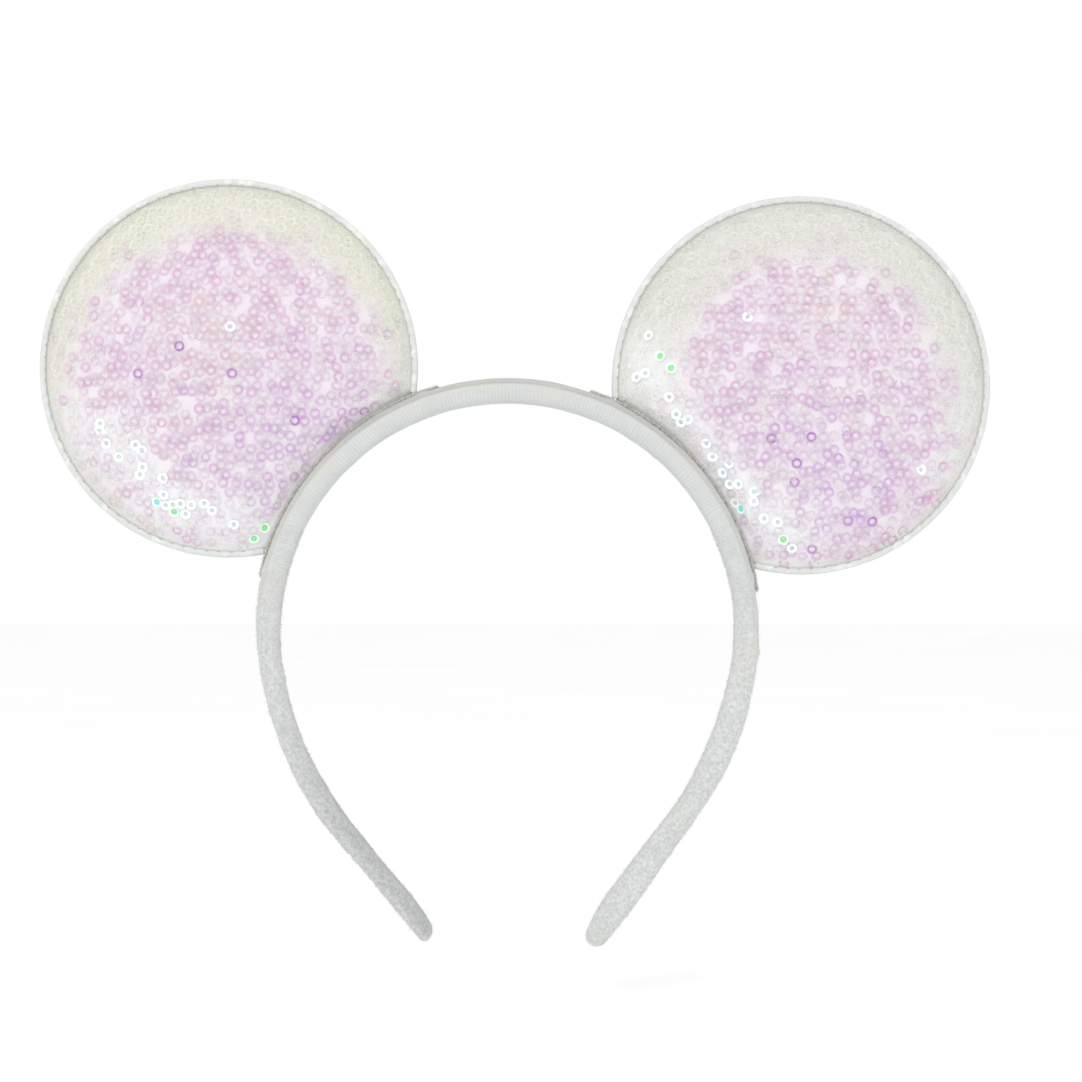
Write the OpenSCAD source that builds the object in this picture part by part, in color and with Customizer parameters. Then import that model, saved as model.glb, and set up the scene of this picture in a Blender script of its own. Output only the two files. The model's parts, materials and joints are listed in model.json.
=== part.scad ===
// Animal ears headband: a padded band in ribbed cloth that clips over the head, with two
// round padded ears covered in cup sequins. Millimetres, +Z up and +Y to the back. Left and
// right are as seen from the front, where +X points right. The origin is the centre of the
// crown's inner arc, and the band and both ears stand in the XZ plane.

/* [Band] */
// Radius of the crown's inner arc, where the band sits on the head
head_r = 60; // [52:0.5:72]
// Thickness of the finished band, from the head outwards
band_t = 6.4; // [5:0.1:9]
// Depth of the finished band, front to back
band_w = 10; // [8:0.5:16]
// Corner radius of the finished band's section
band_corner = 2.4; // [1.6:0.1:2.4]
// Thickness of the ribbed cloth that covers the band
cover_t = 0.9; // [0.5:0.1:1.2]
// Thickness of the springy plastic core
core_t = 1.8; // [1.2:0.1:2.4]
// Depth of the springy plastic core, front to back
core_w = 6.4; // [4:0.2:6.8]

/* [Legs] */
// Angle from the top of the crown to the place where each leg bends
leg_start = 98; // [92:1:104]
// Radius of the leg's upper, flatter arc at its middle line
leg_r = 90; // [75:1:120]
// Length of each leg along its middle line, from its bend to the rounding of its tip
leg_len = 83; // [65:1:100]
// Lean of the left leg's straight end, from upright
left_lean = 39.6; // [30:0.2:44]
// Lean of the right leg's straight end, from upright
right_lean = 36.2; // [30:0.2:44]
// Gap round the knuckle where a leg turns in the crown's end
knuckle_gap = 0.3; // [0.2:0.05:0.5]

/* [Ears] */
// Diameter of each ear over its binding
ear_d = 100; // [80:1:120]
// Height of an ear's centre over the felt strip that it stands on
ear_rise = 33.8; // [26:0.2:42]
// Angle of the left ear from the top of the crown
left_ear_angle = 46.8; // [40:0.2:52]
// Angle of the right ear from the top of the crown
right_ear_angle = 50.2; // [40:0.2:54]
// Height of an ear's dome, from its middle plane to the top of its sequins
dome_h = 9.2; // [7.6:0.2:14]
// Radius that rounds a dome down to its seam
dome_edge_r = 24; // [16:1:26]
// Slope of a dome where it leaves the seam
dome_slope = 45; // [30:1:48]
// Thickness of the layer of sequins
sequin_t = 0.6; // [0.4:0.1:1]
// Thickness of an ear's cloth
cloth_t = 0.5; // [0.3:0.1:0.8]

/* [Rim] */
// Width of the binding round an ear, as seen from the front
rim_w = 1.8; // [1.4:0.1:3]
// Thickness of the binding, front to back
rim_t = 2.4; // [2:0.1:4]
// Thickness of the binding's own cloth
rim_cloth_t = 0.5; // [0.3:0.1:0.6]
// Distance from one rim stitch to the next
stitch_pitch = 3.2; // [2.6:0.1:8]
// Length of one stitch
stitch_len = 1.7; // [1:0.1:2.4]
// Thickness of the sewing thread
thread_d = 0.4; // [0.3:0.05:0.6]

/* [Ear base] */
// Thickness of the stiff board inside an ear
board_t = 0.8; // [0.5:0.1:1.6]
// Width of the board's foot, which goes down to the band's core
foot_w = 26; // [12:1:34]
// Gap round the foot where it passes through cloth and padding
foot_gap = 0.1; // [0.05:0.05:0.3]
// Thickness of the felt strip between an ear and the band
strip_t = 0.8; // [0.5:0.1:1.5]
// Depth of the felt strip, front to back
strip_w = 5; // [4:0.2:5.2]
// Length of the felt strip that shows past each corner of an ear
strip_tail = 4; // [2:0.5:8]
// Number of whip stitches along each edge of the felt strip
strip_stitches = 13; // [7:2:21]

/* [Hidden] */
$fn = 96;

mid_r = head_r + band_t / 2;            // the band's middle line over the crown
core_out_r = mid_r + core_t / 2;        // outer face of the core
band_out_r = head_r + band_t;           // outer face of the band
base_r = band_out_r + strip_t;          // outer face of the felt strip, where an ear stands
ear_r = ear_d / 2;
ear_reach = base_r + ear_rise;          // from the crown's centre to an ear's centre
pad_t = band_t - 2 * cover_t;           // the band without its cover
pad_w = band_w - 2 * cover_t;
pad_corner = band_corner - cover_t;
knuckle_r = band_t / 2 - knuckle_gap;   // rounding of a leg's top, inside the crown's end
socket_r = band_t / 2 + knuckle_gap;    // hollow of the crown's end round a leg's top
seam_inset = rim_w + 0.2;               // a dome's outermost layer starts just inside the binding
lining = sequin_t + cloth_t;            // depth of the wadding under a dome's outer face
board_inset = seam_inset + lining / sin(dome_slope) + board_t / 2 / tan(dome_slope) + 0.3;
// A dome's half section: a shallow cap, then a rounding down to the seam
turn_r = ear_r - seam_inset - dome_edge_r * sin(dome_slope);
turn_h = dome_edge_r * (1 - cos(dome_slope));
cap_r = (turn_r ^ 2 + (dome_h - turn_h) ^ 2) / (2 * (dome_h - turn_h));
// The rounding that brings a dome down along the band
heel_r = dome_h / (1 - cos(dome_slope));
heel_turn_r = base_r + 0.1 + heel_r * sin(dome_slope);
lap = 1;                                // how far two arcs of one section run into each other
whip_len = strip_t + 0.9 * cover_t + thread_d / 2;  // a whip stitch, from the strip into the cover
// Half of the angle that an ear's base covers on the band, and the strip's half angle
ear_half = acos((base_r ^ 2 + ear_reach ^ 2 - ear_r ^ 2) / (2 * base_r * ear_reach));
strip_half = ear_half + strip_tail / base_r * 180 / PI;
// Half of the angle, about an ear's centre, that its binding goes round
rim_half = 180 - acos((ear_r ^ 2 + ear_reach ^ 2 - base_r ^ 2) / (2 * ear_r * ear_reach));

// ---- placing -------------------------------------------------------------

// Turns a drawing seen from the front, with its height towards the viewer, into the XZ plane.
module upright() {
    rotate([90, 0, 0]) children();
}

// An ear's own frame: its centre at the origin, its top along +Y, the crown's centre below.
module at_ear(angle) {
    upright() rotate([0, 0, angle]) translate([0, ear_reach, 0]) children();
}

// Moves from an ear's frame to the crown's centre.
module at_crown() {
    translate([0, -ear_reach, 0]) children();
}

// ---- the band's section and sweep ------------------------------------------

// Rounded rectangle about the origin, built from squares and true circles.
module section(thick, wide, corner) {
    square([thick, wide - 2 * corner], center = true);
    square([thick - 2 * corner, wide], center = true);
    for (sx = [-1, 1], sy = [-1, 1])
        translate([sx * (thick / 2 - corner), sy * (wide / 2 - corner)]) circle(r = corner);
}

module core_section() {
    section(core_t, core_w, core_t / 2 - 0.1);
}

module padding_section() {
    difference() {
        section(pad_t, pad_w, pad_corner);
        core_section();
    }
}

module cover_section() {
    difference() {
        section(band_t, band_w, band_corner);
        section(pad_t, pad_w, pad_corner);
    }
}

// Sweeps a section over the crown, and hollows both ends round the legs' knuckles.
module along_crown() {
    upright() difference() {
        rotate([0, 0, 90 - leg_start])
            rotate_extrude(angle = 2 * leg_start, $fn = 180) translate([mid_r, 0]) children();
        for (side = [-1, 1])
            rotate([0, 0, 90 - side * leg_start]) translate([mid_r, 0, 0])
                cylinder(r = socket_r, h = 2 * band_w, center = true);
    }
}

// Sweeps a section down the right leg: knuckle, flatter arc, straight end and round tip.
module along_right_leg(lean) {
    bend = lean - (leg_start - 90);
    straight = leg_len - leg_r * bend * PI / 180;
    knuckle_angle = band_t / leg_r * 180 / PI;
    upright() rotate([0, 0, 90 - leg_start]) translate([mid_r, 0, 0]) difference() {
        translate([-leg_r, 0, 0]) rotate([0, 0, -bend]) {
            rotate_extrude(angle = bend + knuckle_angle, $fn = 180)
                translate([leg_r, 0]) children();
            translate([leg_r, 0, 0]) rotate([90, 0, 0]) linear_extrude(straight) children();
            translate([leg_r, -straight, 0]) rotate([0, 0, 180]) rotate_extrude(angle = 180)
                intersection() {
                    children();
                    translate([0, -band_w]) square([band_t, 2 * band_w]);
                }
        }
        above_knuckle();
    }
}

// Everything above a leg's pivot except the round top that turns in the crown's end.
module above_knuckle() {
    difference() {
        translate([-band_t, 0, -band_w]) cube([2 * band_t, 2 * band_t, 2 * band_w]);
        cylinder(r = knuckle_r, h = 3 * band_w, center = true);
    }
}

module along_left_leg(lean) {
    mirror([1, 0, 0]) along_right_leg(lean) children();
}

// The slot that an ear's foot passes through, wider than the foot by its gap.
module foot_slot(angle) {
    at_ear(angle) linear_extrude(board_t + 2 * foot_gap, center = true) at_crown()
        intersection() {
            translate([-foot_w / 2 - foot_gap, 0]) square([foot_w + 2 * foot_gap, 2 * base_r]);
            difference() {
                circle(r = base_r + 1, $fn = 180);
                circle(r = core_out_r, $fn = 180);
            }
        }
}

module both_foot_slots() {
    foot_slot(left_ear_angle);
    foot_slot(-right_ear_angle);
}

// ---- an ear's outline and domes --------------------------------------------

// An ear seen from the front, drawn in by the inset: a disc with the felt strip's arc cut away.
module ear_outline(inset, base_inset) {
    difference() {
        circle(r = ear_r - inset, $fn = 180);
        at_crown() circle(r = base_r + base_inset, $fn = 180);
    }
}

// Half section of a dome, with its arcs drawn in by the depth of the layers that lie over it.
module dome_profile(depth) {
    intersection() {
        translate([0, dome_h - cap_r]) circle(r = cap_r - depth, $fn = 360);
        square([turn_r, dome_h]);
    }
    intersection() {
        translate([turn_r, turn_h - dome_edge_r]) circle(r = dome_edge_r - depth, $fn = 180);
        translate([turn_r - lap, 0]) square([dome_edge_r, dome_h]);
    }
}

// Half section, about the crown's centre, of the room that the heel rounding leaves.
module heel_profile(depth) {
    translate([heel_turn_r, 0]) square([ear_d + ear_reach - heel_turn_r, dome_h + 1]);
    intersection() {
        translate([heel_turn_r, dome_h - heel_r]) circle(r = heel_r - depth, $fn = 180);
        translate([heel_turn_r - heel_r, 0]) square([heel_r + lap, dome_h]);
    }
}

// A solid dome under the given depth of layers.
module dome(depth) {
    intersection() {
        rotate_extrude($fn = 180) dome_profile(depth);
        at_crown() rotate_extrude($fn = 180) heel_profile(depth);
    }
}

// ---- an ear's pieces, each in the ear's own frame ---------------------------

module stiffener() {
    linear_extrude(board_t, center = true) {
        ear_outline(board_inset, board_inset - seam_inset + 0.1);
        at_crown() intersection() {
            translate([-foot_w / 2, 0]) square([foot_w, 2 * base_r]);
            difference() {
                circle(r = base_r + board_inset, $fn = 180);
                circle(r = core_out_r, $fn = 180);
            }
        }
    }
}

module wadding() {
    difference() {
        dome(lining);
        cube([2 * ear_d, 2 * ear_d, board_t], center = true);
    }
}

// One side's cloth: a dome, and the flange that is sewn into the binding.
module ear_cover() {
    difference() {
        union() {
            dome(sequin_t);
            linear_extrude(cloth_t) ear_outline(rim_cloth_t, 0);
        }
        dome(lining);
        foot_clearance();
    }
}

// Leaves room in a cover's flange for the board's foot.
module foot_clearance() {
    at_crown() translate([-foot_w / 2 - foot_gap, 0, -board_t])
        cube([foot_w + 2 * foot_gap, base_r + board_inset, board_t * 1.5 + foot_gap]);
}

module sequin_layer() {
    difference() {
        dome(0);
        dome(sequin_t);
        linear_extrude(2 * cloth_t, center = true) circle(r = ear_d);
    }
}

// A folded strip round the edge, open inwards where both covers' flanges go in.
module rim_binding() {
    difference() {
        rotate_extrude($fn = 180) difference() {
            union() {
                translate([ear_r - rim_w, -rim_t / 2]) square([rim_w - rim_t / 4, rim_t]);
                translate([ear_r - rim_t / 4, 0]) square([rim_t / 2, rim_t / 2], center = true);
                for (side = [-1, 1])
                    translate([ear_r - rim_t / 4, side * rim_t / 4]) circle(r = rim_t / 4);
            }
            translate([ear_r - rim_w - 1, -cloth_t])
                square([rim_w + 1 - rim_cloth_t, 2 * cloth_t]);
        }
        at_crown() cylinder(r = base_r, h = 2 * rim_t, center = true, $fn = 180);
    }
}

// Stitches through the binding and both flanges, in a row just inside the binding's edge.
module rim_stitches() {
    row_r = ear_r - rim_w + thread_d;
    count = floor(2 * (rim_half - 4) / 360 * 2 * PI * row_r / stitch_pitch);
    for (i = [0 : count - 1])
        rotate([0, 0, (i + 0.5 - count / 2) * stitch_pitch / row_r * 180 / PI])
            translate([0, row_r, 0])
                cube([stitch_len, thread_d, rim_t + thread_d], center = true);
}

// The felt strip that an ear stands on, with round ends that lie on the band.
module base_strip() {
    at_crown() difference() {
        union() {
            rotate([0, 0, 90 - strip_half]) rotate_extrude(angle = 2 * strip_half, $fn = 180)
                translate([band_out_r, -strip_w / 2]) square([strip_t, strip_w]);
            for (side = [-1, 1])
                rotate([0, 0, side * strip_half]) intersection() {
                    translate([0, band_out_r, 0]) rotate([90, 0, 0])
                        cylinder(d = strip_w, h = 4 * strip_t, center = true);
                    difference() {
                        cylinder(r = base_r, h = strip_w, center = true, $fn = 180);
                        cylinder(r = band_out_r, h = 2 * strip_w, center = true, $fn = 180);
                    }
                }
        }
        linear_extrude(board_t + 2 * foot_gap, center = true)
            translate([-foot_w / 2 - foot_gap, 0]) square([foot_w + 2 * foot_gap, 2 * base_r]);
    }
}

// Whip stitches over both edges of the felt strip, each through the band's cover.
module base_stitches() {
    step = 2 * strip_half / strip_stitches;
    at_crown() for (i = [0 : strip_stitches - 1], side = [-1, 1])
        rotate([0, 0, (i + 0.5) * step - strip_half])
            translate([0, base_r + (thread_d - whip_len) / 2, side * strip_w / 2])
                cube([thread_d, whip_len, 2 * thread_d], center = true);
}

// ---- nodes -------------------------------------------------------------------

module band_core_crown() { color("gainsboro") along_crown() core_section(); }
module band_core_left_leg() { color("gainsboro") along_left_leg(left_lean) core_section(); }
module band_core_right_leg() { color("gainsboro") along_right_leg(right_lean) core_section(); }
module band_padding_crown() {
    color("ivory") difference() {
        along_crown() padding_section();
        both_foot_slots();
    }
}
module band_padding_left_leg() { color("ivory") along_left_leg(left_lean) padding_section(); }
module band_padding_right_leg() { color("ivory") along_right_leg(right_lean) padding_section(); }
module band_cover_crown() {
    color("lightgray") difference() {
        along_crown() cover_section();
        both_foot_slots();
    }
}
module band_cover_left_leg() { color("lightgray") along_left_leg(left_lean) cover_section(); }
module band_cover_right_leg() { color("lightgray") along_right_leg(right_lean) cover_section(); }

module ear_stiffener(angle) { color("white") at_ear(angle) stiffener(); }
module front_wadding(angle) { color("snow") at_ear(angle) wadding(); }
module back_wadding(angle) { color("snow") at_ear(angle) mirror([0, 0, 1]) wadding(); }
module front_cover(angle) { color("whitesmoke") at_ear(angle) ear_cover(); }
module back_cover(angle) { color("whitesmoke") at_ear(angle) mirror([0, 0, 1]) ear_cover(); }
module front_sequins(angle) { color("plum") at_ear(angle) sequin_layer(); }
module back_sequins(angle) { color("plum") at_ear(angle) mirror([0, 0, 1]) sequin_layer(); }
module ear_rim_binding(angle) { color("honeydew") at_ear(angle) rim_binding(); }
module ear_rim_stitches(angle) { color("dimgray") at_ear(angle) rim_stitches(); }
module ear_base_strip(angle) { color("silver") at_ear(angle) base_strip(); }
module ear_base_stitches(angle) { color("white") at_ear(angle) base_stitches(); }

band_core_crown();
band_core_left_leg();
band_core_right_leg();
band_padding_crown();
band_padding_left_leg();
band_padding_right_leg();
band_cover_crown();
band_cover_left_leg();
band_cover_right_leg();
ear_stiffener(left_ear_angle);  // left_ear_stiffener
ear_stiffener(-right_ear_angle);  // right_ear_stiffener
front_wadding(left_ear_angle);  // left_ear_front_wadding
front_wadding(-right_ear_angle);  // right_ear_front_wadding
back_wadding(left_ear_angle);  // left_ear_back_wadding
back_wadding(-right_ear_angle);  // right_ear_back_wadding
front_cover(left_ear_angle);  // left_ear_front_cover
front_cover(-right_ear_angle);  // right_ear_front_cover
back_cover(left_ear_angle);  // left_ear_back_cover
back_cover(-right_ear_angle);  // right_ear_back_cover
front_sequins(left_ear_angle);  // left_ear_front_sequins
front_sequins(-right_ear_angle);  // right_ear_front_sequins
back_sequins(left_ear_angle);  // left_ear_back_sequins
back_sequins(-right_ear_angle);  // right_ear_back_sequins
ear_rim_binding(left_ear_angle);  // left_ear_rim_binding
ear_rim_binding(-right_ear_angle);  // right_ear_rim_binding
ear_rim_stitches(left_ear_angle);  // left_ear_rim_stitches
ear_rim_stitches(-right_ear_angle);  // right_ear_rim_stitches
ear_base_strip(left_ear_angle);  // left_ear_base_strip
ear_base_strip(-right_ear_angle);  // right_ear_base_strip
ear_base_stitches(left_ear_angle);  // left_ear_base_stitches
ear_base_stitches(-right_ear_angle);  // right_ear_base_stitches
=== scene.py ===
# Animal ears headband: a padded band in ribbed cloth and two round ears covered in cup sequins.
# Sizes are in millimetres until a mesh is made. Left and right are as seen from the front.
import json
import math

import bmesh
import bpy
import numpy as np
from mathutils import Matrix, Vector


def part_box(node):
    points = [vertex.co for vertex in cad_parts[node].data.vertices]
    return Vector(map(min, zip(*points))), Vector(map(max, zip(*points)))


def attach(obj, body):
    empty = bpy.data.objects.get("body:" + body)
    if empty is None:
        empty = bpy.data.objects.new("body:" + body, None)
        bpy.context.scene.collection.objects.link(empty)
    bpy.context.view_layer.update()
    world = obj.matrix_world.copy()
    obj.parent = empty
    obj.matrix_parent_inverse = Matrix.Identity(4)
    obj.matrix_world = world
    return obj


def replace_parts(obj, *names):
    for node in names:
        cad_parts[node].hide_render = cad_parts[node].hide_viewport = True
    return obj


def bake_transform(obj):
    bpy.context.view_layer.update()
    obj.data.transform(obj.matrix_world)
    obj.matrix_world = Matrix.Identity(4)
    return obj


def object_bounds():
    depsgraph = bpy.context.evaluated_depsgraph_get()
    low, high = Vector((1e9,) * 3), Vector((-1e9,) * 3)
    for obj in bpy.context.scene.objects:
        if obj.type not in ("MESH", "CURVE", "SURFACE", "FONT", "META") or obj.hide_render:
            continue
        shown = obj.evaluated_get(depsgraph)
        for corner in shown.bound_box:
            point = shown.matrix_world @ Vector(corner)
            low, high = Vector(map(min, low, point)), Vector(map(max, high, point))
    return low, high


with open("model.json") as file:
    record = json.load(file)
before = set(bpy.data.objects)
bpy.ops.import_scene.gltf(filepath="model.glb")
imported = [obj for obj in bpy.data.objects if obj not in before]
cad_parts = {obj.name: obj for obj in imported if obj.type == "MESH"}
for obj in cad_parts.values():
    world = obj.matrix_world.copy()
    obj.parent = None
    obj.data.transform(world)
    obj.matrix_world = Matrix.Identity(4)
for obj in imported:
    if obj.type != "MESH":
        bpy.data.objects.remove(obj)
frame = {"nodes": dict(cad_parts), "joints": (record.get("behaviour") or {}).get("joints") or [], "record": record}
cadBox = [list(corner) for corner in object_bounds()]
mm = 0.001
print("frame loaded:", len(frame["nodes"]), "nodes")


# A node's lowest and highest corners in millimetres.
def boxOf(node):
    low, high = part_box(node)
    return np.array(low) / mm, np.array(high) / mm


headRadius = frame["record"]["mounts"][0]["dims"]["r_mm"]
crownLow, crownHigh = boxOf("band_cover_crown")
bandThick = crownHigh[2] - headRadius
bandWide = crownHigh[1] - crownLow[1]
middleRadius = headRadius + bandThick / 2
bandOuter = headRadius + bandThick
pivots = {j["child"]: np.array(j["pos_m"]) / mm for j in frame["joints"]}
legStart = math.atan2(abs(pivots["left_leg"][0]), pivots["left_leg"][2])

band = {
    "corner": 2.4,
    "coverThick": 0.9,
    "coreThick": 1.8,
    "coreWide": 6.4,
    "legRadius": 90,
    "legLength": 83,
    "lean": {"left": 39.6, "right": 36.2},
    # thickness seen from the front, at distances from the top of the crown
    "thick": {
        "left": [
            (0, 6.5), (40, 6.4), (90, 6.2), (100, 5.6), (116, 5.3), (132, 5.25), (142, 5.6), (150, 5.4),
            (160, 5.2), (170, 4.6), (179, 5.1), (192, 5.5),
        ],
        "right": [
            (0, 6.5), (40, 6.4), (80, 6.3), (91, 5.8), (100, 6.1), (108, 6.3), (118, 6.6), (126, 7.0),
            (134, 6.9), (142, 6.4), (150, 6.0), (160, 6.2), (170, 7.0), (180, 7.4), (192, 7.1),
        ],
    },
    # the tip narrows over a length, more on its inner side, is rounded in depth, and is cut at a slant
    "tip": {"rows": 9, "taper": 14, "round": 3, "inner": 0.93, "outer": 0.14, "depth": 0.8, "slantFrom": 9},
    "tipSlant": {"left": 0.25, "right": -0.1},
    # where along each leg the painted shade comes in that makes its cloth greyer
    "legShade": {"left": (110, 165), "right": (170, 330)},
    # where the ribs give way to plush, and where the painted shade along the crown's outer edge fades
    "legFrom": (48, 118),
    "crownShadeFade": (32, 58),
    "ribPitch": 0.95,
    "ribHeight": 0.085,
    "plush": 0.05,
    "fibres": {"count": 7000, "length": (0.3, 0.8), "wide": 0.05},
    "around": 48,
    # places where the cloth bunches: distance along, width, height, and 1 outside or -1 inside
    "ruffles": {
        "left": [(22, 1.4, 0.45, 1), (84, 2.0, 0.3, 1), (112, 2.2, 0.25, -1), (150, 3, 0.2, 1)],
        "right": [(27, 1.6, 0.4, 1), (86, 2.0, 0.3, 1), (105, 1.6, 0.45, 1), (160, 3, 0.2, -1)],
    },
}
ear = {
    "domeHigh": -boxOf("left_ear_front_sequins")[0][1],
    "edgeRadius": 24,
    "slope": math.radians(45),
    "rimWide": 1.8,
    "rimThick": 2.4,
    "stripThick": 0.8,
    "stripWide": 5,
    "stripTail": 4,
    "boardThick": 0.8,
    "sequinDepth": 0.6,
    "clothThick": 0.4,
    "lining": 1.1,
    "stitchPitch": 3.2,
    "thread": 0.4,
    "fray": {"count": 2600, "length": (0.25, 0.75), "wide": 0.05},
}
# how fine each surface is: rings and columns, and for the ears' domes how far in from the outline and the band
grids = {"cover": (480, 46), "wadding": (120, 26, 4.6, 3.0), "binding": (940, 20), "strip": (260, 30)}
stitches = {
    "rim": {"half": 0.55, "thread": 0.16, "inside": 0.2, "clear": math.radians(4)},
    "whip": {"count": 13, "half": (0.85, 0.5), "thread": 0.19, "edge": 0.93, "over": 0.1},
}
sequin = {
    "rowPitch": 2.4,
    "pitch": 2.7,
    "rings": [0.42, 0.74, 1.1, 1.42],
    "heights": [0.1, 0.11, 0.25, 0.34],
    "corners": 12,
    "offRim": 0.8,
    "offBand": 1.1,
    "thread": 0.055,
}


# An ear's centre and radius from its binding's box, and the angle from the top at which it stands.
def earOf(side):
    low, high = boxOf(side + "_ear_rim_binding")
    x, z = (low[0] + high[0]) / 2, (low[2] + high[2]) / 2
    angle = math.atan2(x, z)
    return {
        "name": side + "_ear_", "side": side, "x": x, "z": z, "reach": math.hypot(x, z),
        "angle": angle, "turn": (math.cos(angle), math.sin(angle)), "radius": (high[0] - low[0]) / 2,
    }


ears = {side: earOf(side) for side in ("left", "right")}
earRadius = ears["left"]["radius"]
earReach = ears["left"]["reach"]
baseRadius = bandOuter + ear["stripThick"]
rimHalf = math.pi - math.acos((earRadius**2 + earReach**2 - baseRadius**2) / (2 * earRadius * earReach))
baseHalf = math.acos((baseRadius**2 + earReach**2 - earRadius**2) / (2 * baseRadius * earReach))


# Evenly spaced angles round a full turn.
def roundTurn(count):
    return np.linspace(0, 2 * np.pi, count, endpoint=False)


# Each way divided by its own length.
def unit(ways):
    return ways / np.linalg.norm(ways, axis=-1, keepdims=True)


# Puts coordinates together into points; a plain number counts for all of them.
def together(*values):
    return np.stack(np.broadcast_arrays(*values), -1)


# Soft lumps: sine waves in seeded directions are added, and each octave has half the size and strength.
def lumps(seed, points, size, octaves=3):
    rng = np.random.default_rng(seed)
    total = np.zeros(points.shape[:-1])
    for octave in range(octaves):
        way = unit(rng.normal(size=(7, points.shape[-1])))
        shift = rng.uniform(0, 2 * np.pi, 7)
        turn = points @ way.T * (2 * np.pi * 2**octave / size) + shift
        total += np.sin(turn).sum(-1) / 3.5 / 2**octave
    return total / 1.6


# A step from 0 to 1 between two values, with level ends.
def easeIn(low, high, value):
    t = np.clip((value - low) / (high - low), 0, 1)
    return t * t * (3 - 2 * t)


# The quads between neighbouring rows and columns of a grid, which closes on itself where it wraps.
def gridFaces(rows, columns, start=0, wrap=False):
    r = np.arange(rows - 1)[:, None] * columns
    c = np.arange(columns if wrap else columns - 1)
    d = (c + 1) % columns
    return together(r + c, r + d, r + columns + d, r + columns + c).reshape(-1, 4) + start


# One small shape's faces again for each of many shapes, whose points follow each other.
def repeatFaces(one, count, points):
    return (one + np.arange(count)[:, None, None] * points).reshape(-1, one.shape[1])


# The triangles from one point to each edge of a ring.
def fanFaces(ring, centre):
    return together(ring, np.roll(ring, -1), centre)


# Puts points and faces into a mesh, smooth but for one set of faces. Faces whose cones from the inside point add
# up to a negative volume are turned round, so that they point outwards. The finish is the slot's own, if no other
# is named.
def makePiece(
    name, points, faceSets, uv=None, facts=None, inside=None, body=None, slot=None, finish=None, flatSet=None
):
    points = points.reshape(-1, 3)
    middle = points.mean(0) if inside is None else np.array(inside, float)
    volume = 0
    for faces in faceSets:
        p = points[faces] - middle
        for k in range(1, faces.shape[1] - 1):
            volume += np.einsum("ij,ij->i", p[:, 0], np.cross(p[:, k], p[:, k + 1])).sum()
    if volume < 0:
        faceSets = [faces[:, ::-1] for faces in faceSets]
    corners = np.concatenate([faces.ravel() for faces in faceSets]).astype(np.int32)
    sizes = np.concatenate([np.full(len(faces), faces.shape[1]) for faces in faceSets])
    starts = np.concatenate([[0], np.cumsum(sizes)[:-1]]).astype(np.int32)
    mesh = bpy.data.meshes.new(name)
    mesh.vertices.add(len(points))
    mesh.vertices.foreach_set("co", (points * mm).astype(np.float32).ravel())
    mesh.loops.add(len(corners))
    mesh.loops.foreach_set("vertex_index", corners)
    mesh.polygons.add(len(sizes))
    mesh.polygons.foreach_set("loop_start", starts)
    smooth = np.concatenate([np.full(len(faces), k != flatSet) for k, faces in enumerate(faceSets)])
    mesh.polygons.foreach_set("use_smooth", smooth)
    mesh.update(calc_edges=True)
    if uv is not None:
        cloth = uv.reshape(-1, 2)[corners].astype(np.float32)
        mesh.uv_layers.new(name="cloth").data.foreach_set("uv", cloth.ravel())
    for fact, values in (facts or {}).items():
        values = np.asarray(values, np.float32)
        isColour = values.ndim > 1 and values.shape[-1] == 4
        layer = mesh.attributes.new(fact, "FLOAT_COLOR" if isColour else "FLOAT", "POINT")
        layer.data.foreach_set("color" if isColour else "value", values.ravel())
    mesh.validate()
    piece = bpy.data.objects.new(name, mesh)
    bpy.context.scene.collection.objects.link(piece)
    if finish or slot:
        mesh.materials.append(finishes[finish or slot])
    if body:
        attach(piece, body)
    return piece


# A colour given as it looks on a screen, turned into light.
def dye(red, green, blue):
    c = np.array([red, green, blue]) / 255
    c = np.where(c <= 0.04045, c / 12.92, ((c + 0.055) / 1.055) ** 2.4)
    return (*c.tolist(), 1.0)


# A socket that takes part in sums: each operator adds the Math node that works it out.
class Value:
    def __init__(self, tree, socket):
        self.tree, self.socket = tree, socket

    def sum(self, operation, *items):
        node = self.tree.nodes.new("ShaderNodeMath")
        node.operation = operation
        for place, item in zip(node.inputs, items):
            feed(self.tree, place, item)
        return Value(self.tree, node.outputs[0])

    __add__ = __radd__ = lambda self, other: self.sum("ADD", self, other)
    __mul__ = __rmul__ = lambda self, other: self.sum("MULTIPLY", self, other)
    __sub__ = lambda self, other: self.sum("SUBTRACT", self, other)
    __rsub__ = lambda self, other: self.sum("SUBTRACT", other, self)

    def sine(self):
        return self.sum("SINE", self)

    def between(self, low, high):
        node = self.tree.nodes.new("ShaderNodeMapRange")
        node.interpolation_type = "SMOOTHSTEP"
        for place, item in (("Value", self), ("From Min", low), ("From Max", high)):
            feed(self.tree, node.inputs[place], item)
        return Value(self.tree, node.outputs[0])


def feed(tree, place, item):
    if isinstance(item, Value):
        tree.links.new(item.socket, place)
    else:
        place.default_value = item


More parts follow.
